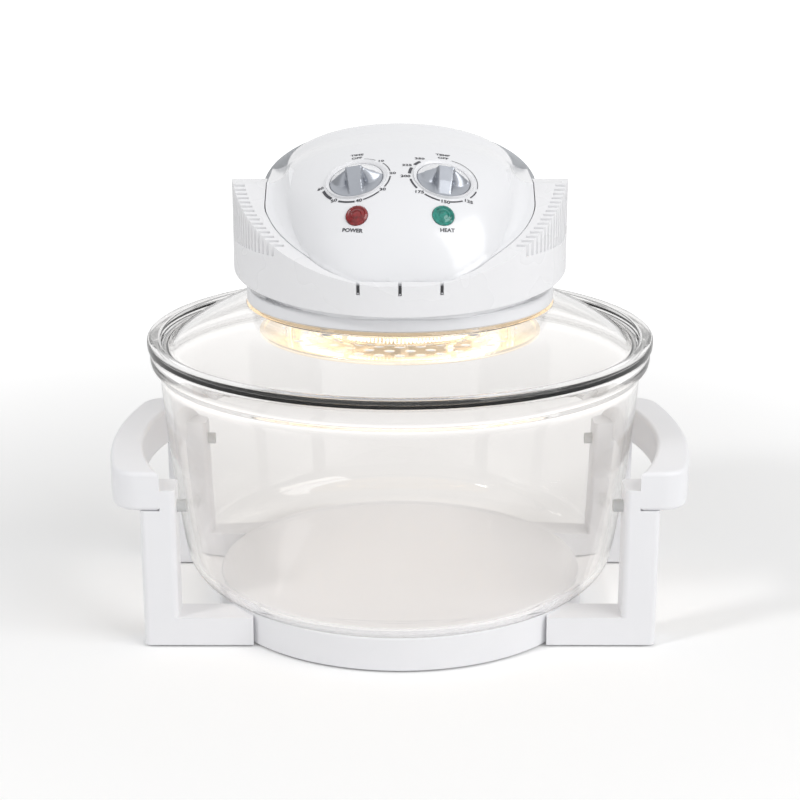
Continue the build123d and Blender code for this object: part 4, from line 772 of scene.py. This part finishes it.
def floor_material():
    """Pale and matt, and brighter away from the oven where the camera sees it, also through glass."""
    material = bpy.data.materials.new("floor_white")
    material.use_nodes = True
    tree = material.node_tree
    nodes, links = tree.nodes, tree.links
    surface = nodes["Principled BSDF"]
    surface.inputs["Base Color"].default_value = (0.9, 0.9, 0.9, 1)
    surface.inputs["Roughness"].default_value = 0.9
    surface.inputs["Specular IOR Level"].default_value = 0.0
    ray = nodes.new("ShaderNodeLightPath")
    seen = larger(tree, ray.outputs["Is Camera Ray"], ray.outputs["Is Transmission Ray"])
    place = nodes.new("ShaderNodeTexCoord")
    away = nodes.new("ShaderNodeVectorMath")
    away.operation = "LENGTH"
    links.new(place.outputs["Object"], away.inputs[0])
    lift = smooth_range(tree, away.outputs["Value"], 0.25, 1.3, 0.07, 0.6)
    strength = nodes.new("ShaderNodeMath")
    strength.operation = "MULTIPLY"
    links.new(seen, strength.inputs[0])
    links.new(lift, strength.inputs[1])
    shine = nodes.new("ShaderNodeEmission")
    links.new(strength.outputs[0], shine.inputs["Strength"])
    add = nodes.new("ShaderNodeAddShader")
    links.new(surface.outputs[0], add.inputs[0])
    links.new(shine.outputs[0], add.inputs[1])
    links.new(add.outputs[0], nodes["Material Output"].inputs["Surface"])
    return material


def room_world():
    """A white room: plain for light, darker to both sides in gloss and glass, full white for the camera."""
    world = bpy.data.worlds.new("room")
    world.use_nodes = True
    tree = world.node_tree
    nodes, links = tree.nodes, tree.links
    background = nodes["Background"]
    background.inputs["Color"].default_value = (1, 1, 1, 1)
    direction = nodes.new("ShaderNodeTexCoord")
    split = nodes.new("ShaderNodeSeparateXYZ")
    links.new(direction.outputs["Generated"], split.inputs[0])
    sideways = nodes.new("ShaderNodeMath")
    sideways.operation = "ABSOLUTE"
    links.new(split.outputs["X"], sideways.inputs[0])
    walls = smooth_range(tree, sideways.outputs[0], 0.55, 0.9, 1.0, 0.5)
    ray = nodes.new("ShaderNodeLightPath")
    plain = nodes.new("ShaderNodeMix")
    plain.data_type = "FLOAT"
    plain.inputs["A"].default_value = ROOM_LEVEL
    glossy = larger(tree, ray.outputs["Is Glossy Ray"], ray.outputs["Is Transmission Ray"])
    links.new(glossy, plain.inputs["Factor"])
    links.new(walls, plain.inputs["B"])
    seen = nodes.new("ShaderNodeMix")
    seen.data_type = "FLOAT"
    seen.inputs["B"].default_value = 1.0
    links.new(ray.outputs["Is Camera Ray"], seen.inputs["Factor"])
    links.new(plain.outputs["Result"], seen.inputs["A"])
    links.new(seen.outputs["Result"], background.inputs["Strength"])
    return world


ROOM_LEVEL = 0.55
FLOOR_HALF = 6
floor_mesh = bpy.data.meshes.new("floor")
bm = bmesh.new()
bmesh.ops.create_grid(bm, x_segments=1, y_segments=1, size=FLOOR_HALF)
bm.to_mesh(floor_mesh)
bm.free()
floor_mesh.materials.append(floor_material())
floor = bpy.data.objects.new("floor", floor_mesh)
bpy.context.scene.collection.objects.link(floor)
bpy.context.scene.world = room_world()


def softbox(name, place, target, size, energy, seen_in_gloss=True):
    """A square lamp that faces a point of the oven."""
    light = bpy.data.lights.new(name, "AREA")
    light.shape = "SQUARE"
    light.size = size
    light.energy = energy
    lamp = bpy.data.objects.new(name, light)
    lamp.location = place
    lamp.visible_glossy = seen_in_gloss
    lamp.rotation_euler = (Vector(target) - Vector(place)).to_track_quat("-Z", "Y").to_euler()
    bpy.context.scene.collection.objects.link(lamp)


softbox("broad", (2.0, -1.3, 1.8), (0, 0, 0.15), 2.2, 44)
softbox("small", (-1.5, -1.0, 1.7), (0, 0, 0.1), 0.35, 13, seen_in_gloss=False)
